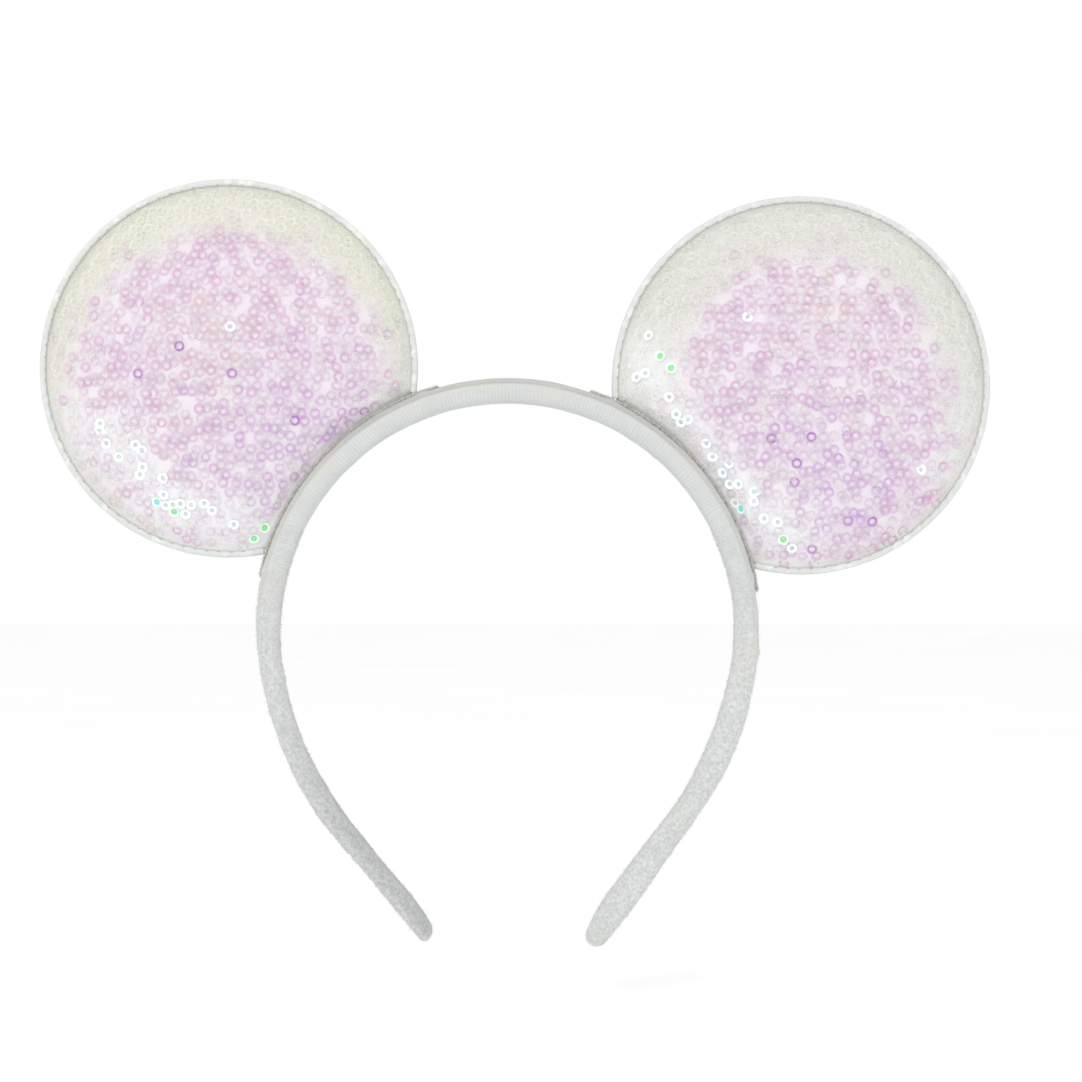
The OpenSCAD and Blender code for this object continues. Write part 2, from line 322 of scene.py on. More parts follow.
# One material. Its even numbers go straight on the shader, and what varies is linked by the finish's own code.
class Finish:
    def __init__(self, name, **numbers):
        self.name, self.material = name, bpy.data.materials.new(name)
        self.material.use_nodes = True
        self.tree = self.material.node_tree
        self.shader = self.tree.nodes["Principled BSDF"]
        self.paint(**numbers)

    def node(self, kind, settings=None, inputs=None, output=0):
        node = self.tree.nodes.new(kind)
        for key, item in (settings or {}).items():
            setattr(node, key, item)
        for place, item in (inputs or {}).items():
            feed(self.tree, node.inputs[place], item)
        return Value(self.tree, node.outputs[output])

    # mixes two colours, each a link or as it looks on a screen
    def mixed(self, share, first, second, how="MIX"):
        first, second = (c if isinstance(c, Value) else dye(*c) for c in (first, second))
        return self.node("ShaderNodeMix", {"data_type": "RGBA", "blend_type": how}, {0: share, 6: first, 7: second}, 2)

    def place(self, stretch=(1, 1, 1), turn=(0, 0, 0)):
        spot = self.node("ShaderNodeTexCoord", output="Object")
        return self.node("ShaderNodeMapping", {}, {"Vector": spot, "Scale": stretch, "Rotation": turn})

    def fact(self, name, output="Fac"):
        return self.node("ShaderNodeAttribute", {"attribute_name": name}, output=output)

    def cloud(self, perMetre, detail=3, vector=None, roughness=0.5):
        inputs = {"Vector": vector or self.place(), "Scale": perMetre, "Detail": detail, "Roughness": roughness}
        return self.node("ShaderNodeTexNoise", {}, inputs)

    def axes(self, vector):
        node = self.tree.nodes.new("ShaderNodeSeparateXYZ")
        feed(self.tree, node.inputs[0], vector)
        return [Value(self.tree, socket) for socket in node.outputs]

    def paint(self, **links):
        for socket, item in links.items():
            feed(self.tree, self.shader.inputs[socket.replace("_", " ")], item)
        return self

    def raise_(self, height, depth, strength=1.0):
        bump = self.node("ShaderNodeBump", {}, {"Height": height, "Distance": depth * mm, "Strength": strength})
        return self.paint(Normal=bump)

    # two tones mixed by a share, how rough they are, and a raised pattern of a depth in millimetres
    def twoTone(self, share, dark, light, rough, height, depth, strength):
        self.paint(Base_Color=self.mixed(share, dark, light), Roughness=rough)
        return self.raise_(height, depth, strength)


# sizes in the cloths: how far one turn of the sleeve's map goes, and the pitch of each yarn
weaves = {"mapWide": 30, "mapLong": 200, "yarn": 0.26, "weave": 0.42, "ply": 0.3}


def ribbedClothFinish():
    f = Finish("ribbed_cloth", Sheen_Weight=0.18, Sheen_Roughness=0.4, Specular_IOR_Level=0.25)
    across, along, _ = f.axes(f.node("ShaderNodeUVMap", {"uv_map": "cloth"}))
    outward, rib, leg, legShade = f.fact("outward"), f.fact("rib"), f.fact("leg"), f.fact("legShade")
    patches = f.cloud(90, 4)
    fuzz = f.cloud(2600, 4, roughness=0.7)
    turns = weaves["mapWide"] * 2 * math.pi / weaves["yarn"]
    yarn = (across * turns + along * (2 * weaves["mapLong"])).sine() * 0.5 + 0.5
    plush = f.cloud(1300, 4, roughness=0.7).between(0.3, 0.7)
    drift = f.cloud(160, 3).between(0.3, 0.7)
    ribs = rib * (0.4 + drift * 0.3) + fuzz * 0.35
    # painted shade and light: the cloth is painted cooler and darker towards the band's inner side, warmer and lighter
    # towards its outer side, and bluish along the inner edge
    coolShadedSide = f.mixed(ribs, (199, 203, 202), (219, 222, 221))
    warmLitSide = f.mixed(ribs * 0.3 + fuzz * 0.7, (206, 207, 203), (224, 225, 221))
    sideShadedCloth = f.mixed(outward.between(-0.05, 0.5) * (0.75 + patches * 0.25), coolShadedSide, warmLitSide)
    inner = f.mixed((outward * -1).between(0.72, 1.0) * 0.35, sideShadedCloth, (202, 206, 213))
    # painted shade: a darker strip along the band's outer edge, strongest on the crown; the thin line beside it is a
    # seam
    strip = outward.between(0.36, 0.62) * (0.75 + fuzz * 0.5) * (0.5 + f.fact("crown") * 0.5)
    line = outward.between(0.55, 0.61) * (1 - outward.between(0.63, 0.7))
    seamAndEdgeShade = f.mixed(line * 0.3, f.mixed(strip * 0.72, inner, (186, 187, 184)), (160, 160, 152))
    # the darker pile is the colour of the painted shade on the legs
    pile = f.mixed(plush * 0.8 + patches * 0.2, (192, 195, 193), (231, 233, 231))
    dark = f.mixed(plush, (168, 170, 170), (204, 206, 205))
    cloth = f.mixed(leg, seamAndEdgeShade, f.mixed(legShade * (0.75 + patches * 0.25), pile, dark))
    stained = f.mixed(patches.between(0.52, 0.75) * 0.2, cloth, (220, 213, 196))
    return f.paint(Base_Color=stained, Roughness=0.72 + fuzz * 0.25).raise_(yarn * 0.35 + fuzz * 0.65, 0.16, 0.8)


def sequinFilmFinish():
    f = Finish("sequin_film", IOR=1.5, Coat_Weight=0.35, Coat_Roughness=0.08)
    # the emission lights only the glint sequins, as painted highlights
    f.paint(Thin_Film_Thickness=390, Thin_Film_IOR=1.38, Emission_Strength=0.14)
    tint, ring, shine = f.fact("tint", "Color"), f.fact("ring"), f.fact("shine")
    wear = f.cloud(1400, 2)
    # painted reflection: the cup's steep wall ring is painted darker and deeper in tint, and its flat middle lighter
    wall = ring.between(0.22, 0.6) * (1 - ring.between(0.86, 1.0) * 0.5)
    hole = 1 - ring.between(0.05, 0.3)
    light = f.mixed(0.55, tint, (246, 236, 248))
    film = f.mixed(wall, light, f.mixed(0.15, tint, tint, "MULTIPLY"))
    # painted shade: darker round the hole, and a dark greenish middle in the glint sequins
    shadedEdge = f.mixed(hole * 0.12, film, (208, 202, 206))
    # painted highlights: glint sequins are painted white, green or cyan, made nearly opaque, and glow through emission
    glint = f.mixed(ring.between(0.3, 0.75), tint, (242, 252, 250))
    lit = f.mixed(shine, shadedEdge, f.mixed(hole * 0.8, glint, (128, 160, 146)))
    veil = (0.26 + wall * 0.5) * f.fact("film")
    f.paint(Base_Color=lit, Roughness=0.12 + wear * 0.18, Alpha=veil.sum("MAXIMUM", veil, shine * 0.96))
    return f.paint(Emission_Color=f.mixed(shine, (0, 0, 0), glint)).raise_(wear, 0.01, 0.3)


def earClothFinish():
    f = Finish("ear_cloth", Sheen_Weight=0.2, Specular_IOR_Level=0.3)
    x, y, z = f.axes(f.place())
    turns = 2 * math.pi / (weaves["weave"] * mm)
    weave = (x * turns).sine() * (z * turns).sine() * 0.5 + 0.5
    patches, fuzz = f.cloud(60, 3), f.cloud(3000, 3)
    # the cloth is painted in the same zones as the sequins' painted iridescent reflection: pink in the middle,
    # yellowish towards the top, greyer on the right ear
    rosy = f.mixed(patches.between(0.35, 0.7), (238, 229, 237), (237, 232, 236))
    upper = f.mixed(f.fact("ashen"), f.mixed(patches, (222, 224, 203), (220, 221, 210)), (217, 218, 211))
    pale = f.mixed(f.fact("tone"), f.mixed(f.fact("upper"), (231, 230, 227), upper), rosy)
    # painted highlights: light horizontal curled streaks, as light on wrinkles, and the cloth is darker where the curls
    # are low
    curls = f.cloud(520, 4, f.place((1, 1, 2.6)), 0.65)
    streakHighlights = f.mixed(curls.between(0.5, 0.72) * 0.45, pale, (246, 242, 245))
    curlDarkened = f.mixed((1 - curls).between(0.5, 0.75) * 0.28, streakHighlights, (214, 204, 212))
    # painted highlight: the cloth is painted near-white in a haze round the glint line
    cloth = f.mixed(f.fact("haze") * 0.9, curlDarkened, (243, 243, 244))
    # painted shade along the ear's base where it meets the band; the cloth is also painted darker next to the rim seam
    heel = (f.fact("heel") * (0.7 + fuzz * 0.6)).between(0.15, 0.9)
    seamAndBaseShade = f.mixed(heel * 0.8, f.mixed(f.fact("seam") * 0.2, cloth, (190, 192, 174)), (158, 160, 148))
    return f.twoTone(weave * 0.25, seamAndBaseShade, (206, 200, 212), 0.7 + fuzz * 0.2, weave * 0.7 + fuzz * 0.3, 0.08, 0.7)


def satinFinish():
    f = Finish("satin_binding", Sheen_Weight=0.15, Coat_Weight=0.25, Coat_Roughness=0.25, Specular_IOR_Level=0.55)
    squeeze, across = f.fact("squeeze"), f.fact("across")
    fine = f.cloud(1800, 2, f.place((1, 6, 1)))
    # painted highlights: light dashes along the satin; painted shade: darker in the pinches at the stitches, along the
    # outer edge, and most along the inner edge
    patches, highlightDashes = f.cloud(70, 3), f.cloud(330, 2)
    dashLitSatin = f.mixed(highlightDashes.between(0.5, 0.68), (216, 219, 217), (232, 234, 232))
    pinchShaded = f.mixed(squeeze.between(0.1, 0.8) * 0.3, dashLitSatin, (206, 210, 205))
    outerEdgeShaded = f.mixed(across.between(0.62, 0.9) * 0.6, pinchShaded, (192, 196, 194))
    shadedEdge = f.mixed((across * -1).between(0.6, 0.95) * 0.6, outerEdgeShaded, (164, 170, 157))
    return f.twoTone(patches.between(0.45, 0.8) * 0.2, shadedEdge, (220, 222, 206), 0.24 + fine * 0.18, fine, 0.06, 0.6)


def threadFinish(name, light, dark):
    f = Finish(name, Sheen_Weight=0.2, Specular_IOR_Level=0.35)
    x, y, z = f.axes(f.place())
    twist = ((x + y + z) * (2 * math.pi / (weaves["ply"] * mm))).sine() * 0.5 + 0.5
    fuzz = f.cloud(2400, 3)
    return f.twoTone(twist * 0.6 + fuzz * 0.4, dark, light, 0.6 + fuzz * 0.2, twist, 0.06, 0.8)


# painted shade: the felt is painted grey with darker specks, for the shadow line where the ear meets the band
def shadedFeltFinish():
    f = Finish("felt", Sheen_Weight=0.4, Sheen_Roughness=0.6, Specular_IOR_Level=0.15)
    fibres = f.cloud(1500, 5, f.place((1, 1, 3)), 0.75)
    specks = f.cloud(700, 3)
    base = f.mixed(fibres.between(0.35, 0.68), (192, 192, 184), (219, 219, 213))
    return f.twoTone(specks.between(0.55, 0.7) * 0.5, base, (152, 150, 138), 0.85 + fibres * 0.1, fibres, 0.25, 0.9)


def foamFinish():
    f = Finish("band_foam", Specular_IOR_Level=0.2)
    cells = f.node("ShaderNodeTexVoronoi", {"feature": "F1"}, {"Vector": f.place(), "Scale": 1400})
    fuzz = f.cloud(500, 3)
    share = cells * 0.6 + fuzz * 0.3
    return f.twoTone(share, (226, 220, 196), (246, 242, 226), 0.85 + fuzz * 0.1, cells, 0.25, 0.9)


def waddingFinish():
    f = Finish("wadding", Sheen_Weight=0.5, Sheen_Roughness=0.7, Specular_IOR_Level=0.15)
    fibres = f.cloud(420, 6, f.place((3, 1, 0.6), (0.3, 0.2, 0.7)), 0.8)
    tufts = f.cloud(110, 3)
    share = fibres * 0.6 + tufts * 0.4
    return f.twoTone(share, (222, 222, 220), (250, 250, 248), 0.85 + fibres * 0.1, fibres, 0.5, 0.9)


def corePlasticFinish():
    f = Finish("core_plastic", Coat_Weight=0.1, IOR=1.49)
    flow, grain = f.cloud(35, 3, f.place((1, 1, 4))), f.cloud(2200, 2)
    return f.twoTone(flow, (214, 214, 210), (232, 232, 226), 0.34 + grain * 0.2, grain * 0.5 + flow * 0.5, 0.04, 0.5)


def earBoardFinish():
    f = Finish("ear_board", Specular_IOR_Level=0.3)
    fibres, plies = f.cloud(1100, 5, f.place((1, 1, 3)), 0.7), f.cloud(90, 3)
    share = fibres * 0.5 + plies * 0.5
    return f.twoTone(share, (206, 202, 190), (238, 236, 228), 0.7 + fibres * 0.2, fibres, 0.08, 0.6)


def pileFinish(name, dark, light):
    f = Finish(name, Sheen_Weight=0.15, Specular_IOR_Level=0.2)
    tones = f.mixed(f.cloud(700, 3).between(0.3, 0.7), dark, light)
    return f.paint(Base_Color=tones, Roughness=0.85 + f.cloud(2600, 2) * 0.1)


def clearThreadFinish():
    f = Finish("clear_thread", Specular_IOR_Level=0.6, Roughness=0.2, Alpha=0.35)
    return f.paint(Base_Color=f.mixed(f.cloud(900, 2), (226, 224, 230), (252, 252, 252)))


def paleFloorFinish():
    f = Finish("pale_floor", Specular_IOR_Level=0.0, Roughness=0.9)
    return f.paint(Base_Color=f.mixed(f.cloud(8, 3), (250, 250, 250), (254, 254, 254)))


madeFinishes = (
    ribbedClothFinish(), sequinFilmFinish(), earClothFinish(), satinFinish(),
    threadFinish("rim_thread", (200, 204, 194), (166, 171, 158)),
    threadFinish("base_thread", (236, 236, 228), (186, 186, 174)),
    shadedFeltFinish(), foamFinish(), waddingFinish(), corePlasticFinish(), earBoardFinish(), clearThreadFinish(),
    # the left leg's pile is painted darker than the right's, as painted shade
    pileFinish("left_leg_pile", (184, 187, 186), (216, 218, 217)),
    pileFinish("right_leg_pile", (208, 212, 210), (236, 238, 236)),
    # the felt's fray is painted dark grey as part of that painted shadow line
    pileFinish("felt_fray", (150, 150, 139), (210, 210, 202)),
    paleFloorFinish(),
)
finishes = {finish.name: finish.material for finish in madeFinishes}
print("finishes made")


signs = {"left": -1, "right": 1}
halfLength = middleRadius * legStart + band["legLength"]


# The band's middle line on one side: an arc over the crown, the leg's flatter arc, then its straight end.
# Returns the point and the angle from the top of the way that faces outwards.
def middleLine(side, along):
    lean = math.radians(band["lean"][side])
    crownLength = middleRadius * legStart
    bend = band["legRadius"]
    bendLength = bend * (math.pi / 2 + lean - legStart)
    over = np.clip(along, 0, crownLength) / middleRadius
    facing = over + np.clip(along - crownLength, 0, bendLength) / bend
    rest = np.maximum(along - crownLength - bendLength, 0)
    turn = np.maximum(facing, legStart)
    x = middleRadius * np.sin(over) + bend * (np.sin(turn) - math.sin(legStart)) + rest * np.cos(facing)
    z = middleRadius * np.cos(over) + bend * (np.cos(turn) - math.cos(legStart)) - rest * np.sin(facing)
    return x, z, facing


# A rounded rectangle walked in even steps from the middle of its inner face: outward distance, depth front to
# back, the angle that its surface faces, and the distance walked.
def bandSection(count, thick, wide, corner):
    a, b, fine = thick / 2 - corner, wide / 2 - corner, 40
    bends = [np.linspace(np.pi * k / 2, np.pi * (k - 1) / 2, fine) for k in (2, 1, 0, -1)]
    facing = np.concatenate([[np.pi], *bends, [-np.pi]])
    outs = np.concatenate([[-a], np.repeat([-a, a, a, -a], fine), [-a]]) + corner * np.cos(facing)
    deep = np.concatenate([[0], np.repeat([b, b, -b, -b], fine) + corner * np.sin(facing[1:-1]), [0]])
    walked = np.concatenate([[0], np.cumsum(np.hypot(np.diff(outs), np.diff(deep)))])
    step = np.linspace(0, walked[-1], count, endpoint=False)
    return [np.interp(step, walked, v) for v in (outs, deep, facing)] + [step]


# Carries a section along one half of the band. At the end of the leg each point swings round a quarter turn,
# which closes the tip. The tip is narrowed about a shifted middle, rounded in depth and sheared by its slant.
def carryBand(side, along, outs, deep, scale, lift, facing):
    sign, tip, end = signs[side], band["tip"], along[-1]
    tipRows = tip["rows"]
    s = np.concatenate([along, np.full(tipRows, along[-1])])[:, None]
    swing = np.concatenate([np.zeros(len(along)), np.linspace(0, np.pi / 2, tipRows + 1)[1:]])[:, None]
    lift = np.concatenate([lift, np.repeat(lift[-1:], tipRows, 0) * np.cos(swing[-tipRows:])])
    scale = np.concatenate([scale, np.full(tipRows, scale[-1])])[:, None]
    near = np.clip((s - end + tip["taper"]) / (tip["taper"] + tip["round"]), 0, 1)
    innerSide, outerSide = np.sqrt(1 - (tip["inner"] * near) ** 2), 1 - tip["outer"] * near
    shift = bandThick / 4 * scale * (outerSide - innerSide)
    scale = scale * (outerSide + innerSide) / 2
    out = shift + (outs * scale + lift * np.cos(facing)) * np.cos(swing)
    forward = np.abs(outs * scale) * np.sin(swing)
    rounding = np.clip((s + forward - halfLength + tip["round"]) / (tip["round"] + bandThick / 3), 0, 1)
    depth = (deep + lift * np.sin(facing)) * np.sqrt(1 - (tip["depth"] * rounding) ** 2)
    forward = forward + band["tipSlant"][side] * out * easeIn(end - tip["slantFrom"], end, s)
    x, z, way = middleLine(side, s)
    sideways = sign * (x + out * np.sin(way) + forward * np.cos(way))
    upward = z + out * np.cos(way) - forward * np.sin(way)
    return together(sideways, depth, upward), s + forward


# One half of a layer of the band: an outer skin, and an inner skin where the layer is hollow, joined at the
# crown's middle and closed at the tip.
def bandHalf(name, side, layer):
    length = halfLength
    outer, inner = layer["outer"], layer["inner"]
    pitch = band["ribPitch"]
    ribs = round(length / pitch)
    along = np.linspace(0, ribs * pitch, ribs * layer["perRib"] + 1) * (length / (ribs * pitch))
    outs, deep, facing, walked = bandSection(layer["around"], *outer)
    s, y = along[:, None], np.broadcast_to(deep, (len(along), len(deep)))
    n = np.broadcast_to(outs, y.shape)
    # the place of each point on the cloth, for the lumps
    spot = together(s, y, n)
    profile = np.array(band["thick"][side])
    scale = np.interp(along, profile[:, 0], profile[:, 1]) / bandThick
    outward = n / (outer[0] / 2)
    seed = 11 if side == "left" else 23
    apart = easeIn(0, 8, s)  # the two halves match where they meet
    lift = layer["lump"] * apart * (lumps(seed, spot, 15) + 0.35 * lumps(seed + 1, spot, 4.5))
    rib, leg = np.zeros_like(y), np.broadcast_to(easeIn(*band["legFrom"], s), y.shape)
    if layer["ribs"]:
        wander = (0.35 * lumps(seed + 2, spot, 9) + 0.12 * lumps(seed + 7, spot, 3)) * apart
        rib = np.abs(np.cos(np.pi * (s / pitch + wander))) ** 0.75
        faint = easeIn(0.1, 0.6, outward) * 0.62
        rough = 0.85 + (0.3 * lumps(seed + 3, spot, 20) + 0.45 * lumps(seed + 8, spot, 5)) * apart
        lift = lift + band["ribHeight"] * (rib - 0.6) * (1 - faint) * (1 - 0.8 * leg) * rough
        lift = lift + band["plush"] * leg * lumps(seed + 6, spot, 1.7, 2)
        lift = lift - 0.16 * np.exp(-(((outward - 0.8) / 0.05) ** 2))
        for at, wide, high, where in band["ruffles"][side]:
            lift = lift + high * np.exp(-(((s - at) / wide) ** 2)) * easeIn(0.2, 0.9, outward * where)
    points, travelled = carryBand(side, along, outs, deep, scale, lift, facing)
    rows, columns = points.shape[:2]
    uv = together(walked / weaves["mapWide"], travelled / weaves["mapLong"])
    tipRows = rows - len(along)
    overTip = lambda v: np.concatenate([v, np.repeat(v[-1:], tipRows, 0)]).ravel()
    # painted shade on the legs: greyer down the leg, and darker on its inner side
    legShade = easeIn(*band["legShade"][side], s) * (0.35 + 0.65 * easeIn(0.6, -0.4, outward))
    facts = {"outward": overTip(outward), "rib": overTip(rib), "leg": overTip(leg), "legShade": overTip(legShade)}
    # how strong the painted shade along the crown's outer edge is
    everyRow = np.repeat(np.append(along, np.full(tipRows, length)), columns)
    facts["crown"] = 1 - easeIn(*band["crownShadeFade"], everyRow)
    faces = [gridFaces(rows, columns, 0, True)]
    everyPoint, everyUv = [points.reshape(-1, 3)], [uv.reshape(-1, 2)]
    total = rows * columns
    if inner:
        # the inner skin has as many columns as the outer one, so that the two join at the crown's middle
        few = np.linspace(0, length - 0.9, 90)
        outs, deep, facing, walked = bandSection(layer["around"], *inner)
        scale = np.interp(few, profile[:, 0], profile[:, 1]) / bandThick
        lining, travelled = carryBand(side, few, outs, deep, scale, np.zeros((len(few), len(outs))), facing)
        more = lining.shape[0]
        faces.append(gridFaces(more, columns, total, True)[:, ::-1])
        ring = np.arange(columns)
        faces.append(together(ring, np.roll(ring, -1), np.roll(ring, -1) + total, ring + total)[:, ::-1])
        everyPoint.append(lining.reshape(-1, 3))
        everyUv.append(np.zeros((more * columns, 2)))
        for fact in facts:
            facts[fact] = np.concatenate([facts[fact], np.zeros(more * columns)])
    else:
        everyPoint.append(points[0].mean(0, keepdims=True))
        everyUv.append(np.zeros((1, 2)))
        faces.append(fanFaces(np.arange(columns), total)[:, ::-1])
        for fact in facts:
            facts[fact] = np.append(facts[fact], 0)
    meeting = len(faces) - 1  # the faces where the halves meet
    every, uv = np.concatenate(everyPoint), np.concatenate(everyUv)
    piece = makePiece(name, every, faces, uv, facts, slot=layer["slot"], flatSet=meeting)
    closeTip(piece)
    return bendWithLeg(piece)


# The piece's placement is baked into its mesh; it is not bent with the leg.
def bendWithLeg(piece):
    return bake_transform(piece)


# Joins the points that meet along a tip, and drops the faces that have no width there.
def closeTip(piece):
    mesh = bmesh.new()
    mesh.from_mesh(piece.data)
    bmesh.ops.remove_doubles(mesh, verts=mesh.verts, dist=2e-6)
    bmesh.ops.dissolve_degenerate(mesh, edges=mesh.edges, dist=1e-7)
    mesh.to_mesh(piece.data)
    mesh.free()


# Short fibres on a piece: thin three-sided spikes that stand on points picked at random where the fact is
# high enough, and lean every way.
def fibrePiece(name, base, fact, least, sizes, slot, finish, seed):
    rng = np.random.default_rng(seed)
    mesh = base.data
    count = len(mesh.vertices)
    spots, ways, level = (np.empty(count * each, np.float32) for each in (3, 3, 1))
    mesh.vertices.foreach_get("co", spots)
    mesh.vertex_normals.foreach_get("vector", ways)
    mesh.attributes[fact].data.foreach_get("value", level)
    picked = rng.choice(np.flatnonzero(level > least), sizes["count"])
    root = spots.reshape(-1, 3)[picked] / mm + rng.normal(0, 0.08, (len(picked), 3))
    up = unit(ways.reshape(-1, 3)[picked] + rng.normal(0, 0.45, (len(picked), 3)))
    first = unit(np.cross(up, rng.normal(size=up.shape)))
    second = np.cross(up, first)
    turn = roundTurn(3)[None, :, None]
    ring = np.cos(turn) * first[:, None] + np.sin(turn) * second[:, None]
    foot = root[:, None] + sizes["wide"] * ring - 0.12 * up[:, None]
    tip = root + up * rng.uniform(*sizes["length"], (len(picked), 1))
    points = np.concatenate([foot, tip[:, None]], 1)
    spike = np.array([[0, 1, 3], [1, 2, 3], [2, 0, 3], [2, 1, 0]])
    return makePiece(name, points, [repeatFaces(spike, len(picked), 4)], slot=slot, finish=finish)


coverT = band["coverThick"]
layers = {
    "cover": {
        "outer": (bandThick, bandWide, band["corner"]),
        "inner": (bandThick - 2 * coverT, bandWide - 2 * coverT, band["corner"] - coverT),
        "ribs": True, "perRib": 6, "around": band["around"], "lump": 0.1, "slot": "ribbed_cloth",
    },
    "padding": {
        "outer": (bandThick - 2 * coverT - 0.1, bandWide - 2 * coverT - 0.1, band["corner"] - coverT),
        "inner": (band["coreThick"] + 0.1, band["coreWide"] + 0.1, band["coreThick"] / 2),
        "ribs": False, "perRib": 2, "around": 32, "lump": 0.04, "slot": "band_foam",
    },
    "core": {
        "outer": (band["coreThick"], band["coreWide"], band["coreThick"] / 2 - 0.1),
        "inner": None,
        "ribs": False, "perRib": 1, "around": 24, "lump": 0.0, "slot": "core_plastic",
    },
}
for side in ("left", "right"):
    for part, layer in layers.items():
        half = bandHalf(f"band_{part}_{side}_half", side, layer)
        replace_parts(half, f"band_{part}_{side}_leg", *([f"band_{part}_crown"] if side == "left" else []))
        if part == "cover":
            name, finish = f"band_{side}_leg_pile", side + "_leg_pile"
            pile = fibrePiece(name, half, "leg", 0.25, band["fibres"], "ribbed_cloth", finish, 71)
            bendWithLeg(pile)
print("band made")

seamRadius = earRadius - ear["rimWide"]
turnRadius = seamRadius - 0.2 - ear["edgeRadius"] * math.sin(ear["slope"])
turnHigh = ear["edgeRadius"] * (1 - math.cos(ear["slope"]))
capRadius = (turnRadius**2 + (ear["domeHigh"] - turnHigh) ** 2) / (2 * (ear["domeHigh"] - turnHigh))
heelRadius = ear["domeHigh"] / (1 - math.cos(ear["slope"]))
heelTurn = baseRadius + 0.1 + heelRadius * math.sin(ear["slope"])


# How far a place on an ear is from the felt strip's arc.
def overBand(x, y):
    return np.hypot(x, y + earReach) - baseRadius


# Height of a dome over the ear's middle plane: a shallow cap, then a tighter arc down to the seam, and the
# lower of that and an arc that comes down along the band. The arcs are drawn in by the depth of what lies over.
def domeHeight(x, y, depth):
    r, rho = np.hypot(x, y), np.hypot(x, y + earReach)
    high = ear["domeHigh"]
    root = lambda radius, d: np.sqrt(np.maximum((radius - depth) ** 2 - d**2, 0))
    cap = high - capRadius + root(capRadius, r)
    edge = turnHigh - ear["edgeRadius"] + root(ear["edgeRadius"], np.maximum(r - turnRadius, 0))
    heel = high - heelRadius + root(heelRadius, np.minimum(rho - heelTurn, 0))
    top = np.where(r < turnRadius, cap, edge)
    return np.minimum(top, np.where(rho < heelTurn, heel, high))


# How far the ear's outline is from its centre at each angle: its circle, or the arc of the felt strip.
def outlineRadius(angle, inset, baseInset):
    down = earReach * np.sin(angle)
    within = down**2 - earReach**2 + (baseRadius + baseInset) ** 2
    strip = np.where((within > 0) & (down < 0), -down - np.sqrt(np.maximum(within, 0)), 1e9)
    return np.minimum(earRadius - inset, strip)


# The cloth's outer face: the dome, with low lumps, and puckers that run in from the seam and die away.
def clothHeight(x, y, seed):
    angle, r = np.arctan2(y, x), np.hypot(x, y)
    toSeam = np.maximum(np.minimum(seamRadius - r, overBand(x, y)), 0)
    spot = together(x, y)
    turnSpot = together(np.cos(angle), np.sin(angle)) * earRadius
    pucker = np.abs(np.cos(np.pi * angle * earRadius / ear["stitchPitch"] + 0.8 * lumps(seed, turnSpot, 30)))
    fold = lumps(seed + 1, turnSpot, 12)
    high = domeHeight(x, y, ear["sequinDepth"])
    high = high + 0.3 * lumps(seed + 2, spot, 32, 2) * easeIn(2, 14, toSeam)
    high = high + (0.3 * (pucker - 0.5) + 0.35 * fold) * np.exp(-toSeam / 4.5) * easeIn(0, 1.5, toSeam)
    if seed in settled:
        high = high + clothRise(x, y, seed)
    overBoard = np.exp(-((overBand(x, y) / 4) ** 4)) * easeIn(0, 4, seamRadius - r)
    return np.maximum(high, 0.32 + 0.58 * overBoard)


# Cloth simulation of each side of an ear: a grid of the cloth is sewn down round its outline and blown out by a
# light pressure. Only how far it rose is kept, within limits, and the finished cloth and its sequins follow it.
settle = {
    "angles": 180, "rings": 30, "power": 1.3, "steps": 20, "quality": 5, "pressure": 4, "mass": 0.02,
    "stiffness": 8, "shear": 3, "bending": 0.05, "rise": (-0.2, 1.2),
}
clothInset = (1.1, 0.05)  # from the ear's outline, and from the band
settled = {}


def settleCloth(seed):
    x, y = earGrid(settle["angles"], settle["rings"], *clothInset, settle["power"])
    rings, angles = x.shape
    x, y = np.append(x.ravel(), 0), np.append(y.ravel(), 0)
    drawn = clothHeight(x, y, seed)
    trial = makePiece("cloth_to_settle", together(x, y, drawn), discFaces(rings, angles), inside=(0, 0, -50))
    sewn = trial.vertex_groups.new(name="sewn")
    sewn.add(list(range((rings - 1) * angles, rings * angles)), 1.0, "REPLACE")
    modifier = trial.modifiers.new("cloth", "CLOTH")
    cloth = modifier.settings
    cloth.quality, cloth.mass = settle["quality"], settle["mass"]
    cloth.tension_stiffness = cloth.compression_stiffness = settle["stiffness"]
    cloth.shear_stiffness, cloth.bending_stiffness = settle["shear"], settle["bending"]
    cloth.vertex_group_mass = "sewn"
    cloth.use_pressure, cloth.uniform_pressure_force = True, settle["pressure"]
    cloth.effector_weights.gravity = 0
    modifier.collision_settings.use_collision = False
    for step in range(1, settle["steps"] + 1):
        bpy.context.scene.frame_set(step)
    after = np.empty(len(x) * 3, np.float32)
    trial.evaluated_get(bpy.context.evaluated_depsgraph_get()).data.vertices.foreach_get("co", after)
    rise = after.reshape(-1, 3)[:, 2] / mm - drawn
    print("cloth settled: rise from", round(float(rise.min()), 2), "to", round(float(rise.max()), 2), "mm")
    rise = np.clip(rise, *settle["rise"])
    settled[seed] = np.concatenate([np.full((1, angles), rise[-1]), rise[:-1].reshape(rings, angles)])
    bpy.context.scene.frame_set(1)
    mesh = trial.data
    bpy.data.objects.remove(trial)
    bpy.data.meshes.remove(mesh)


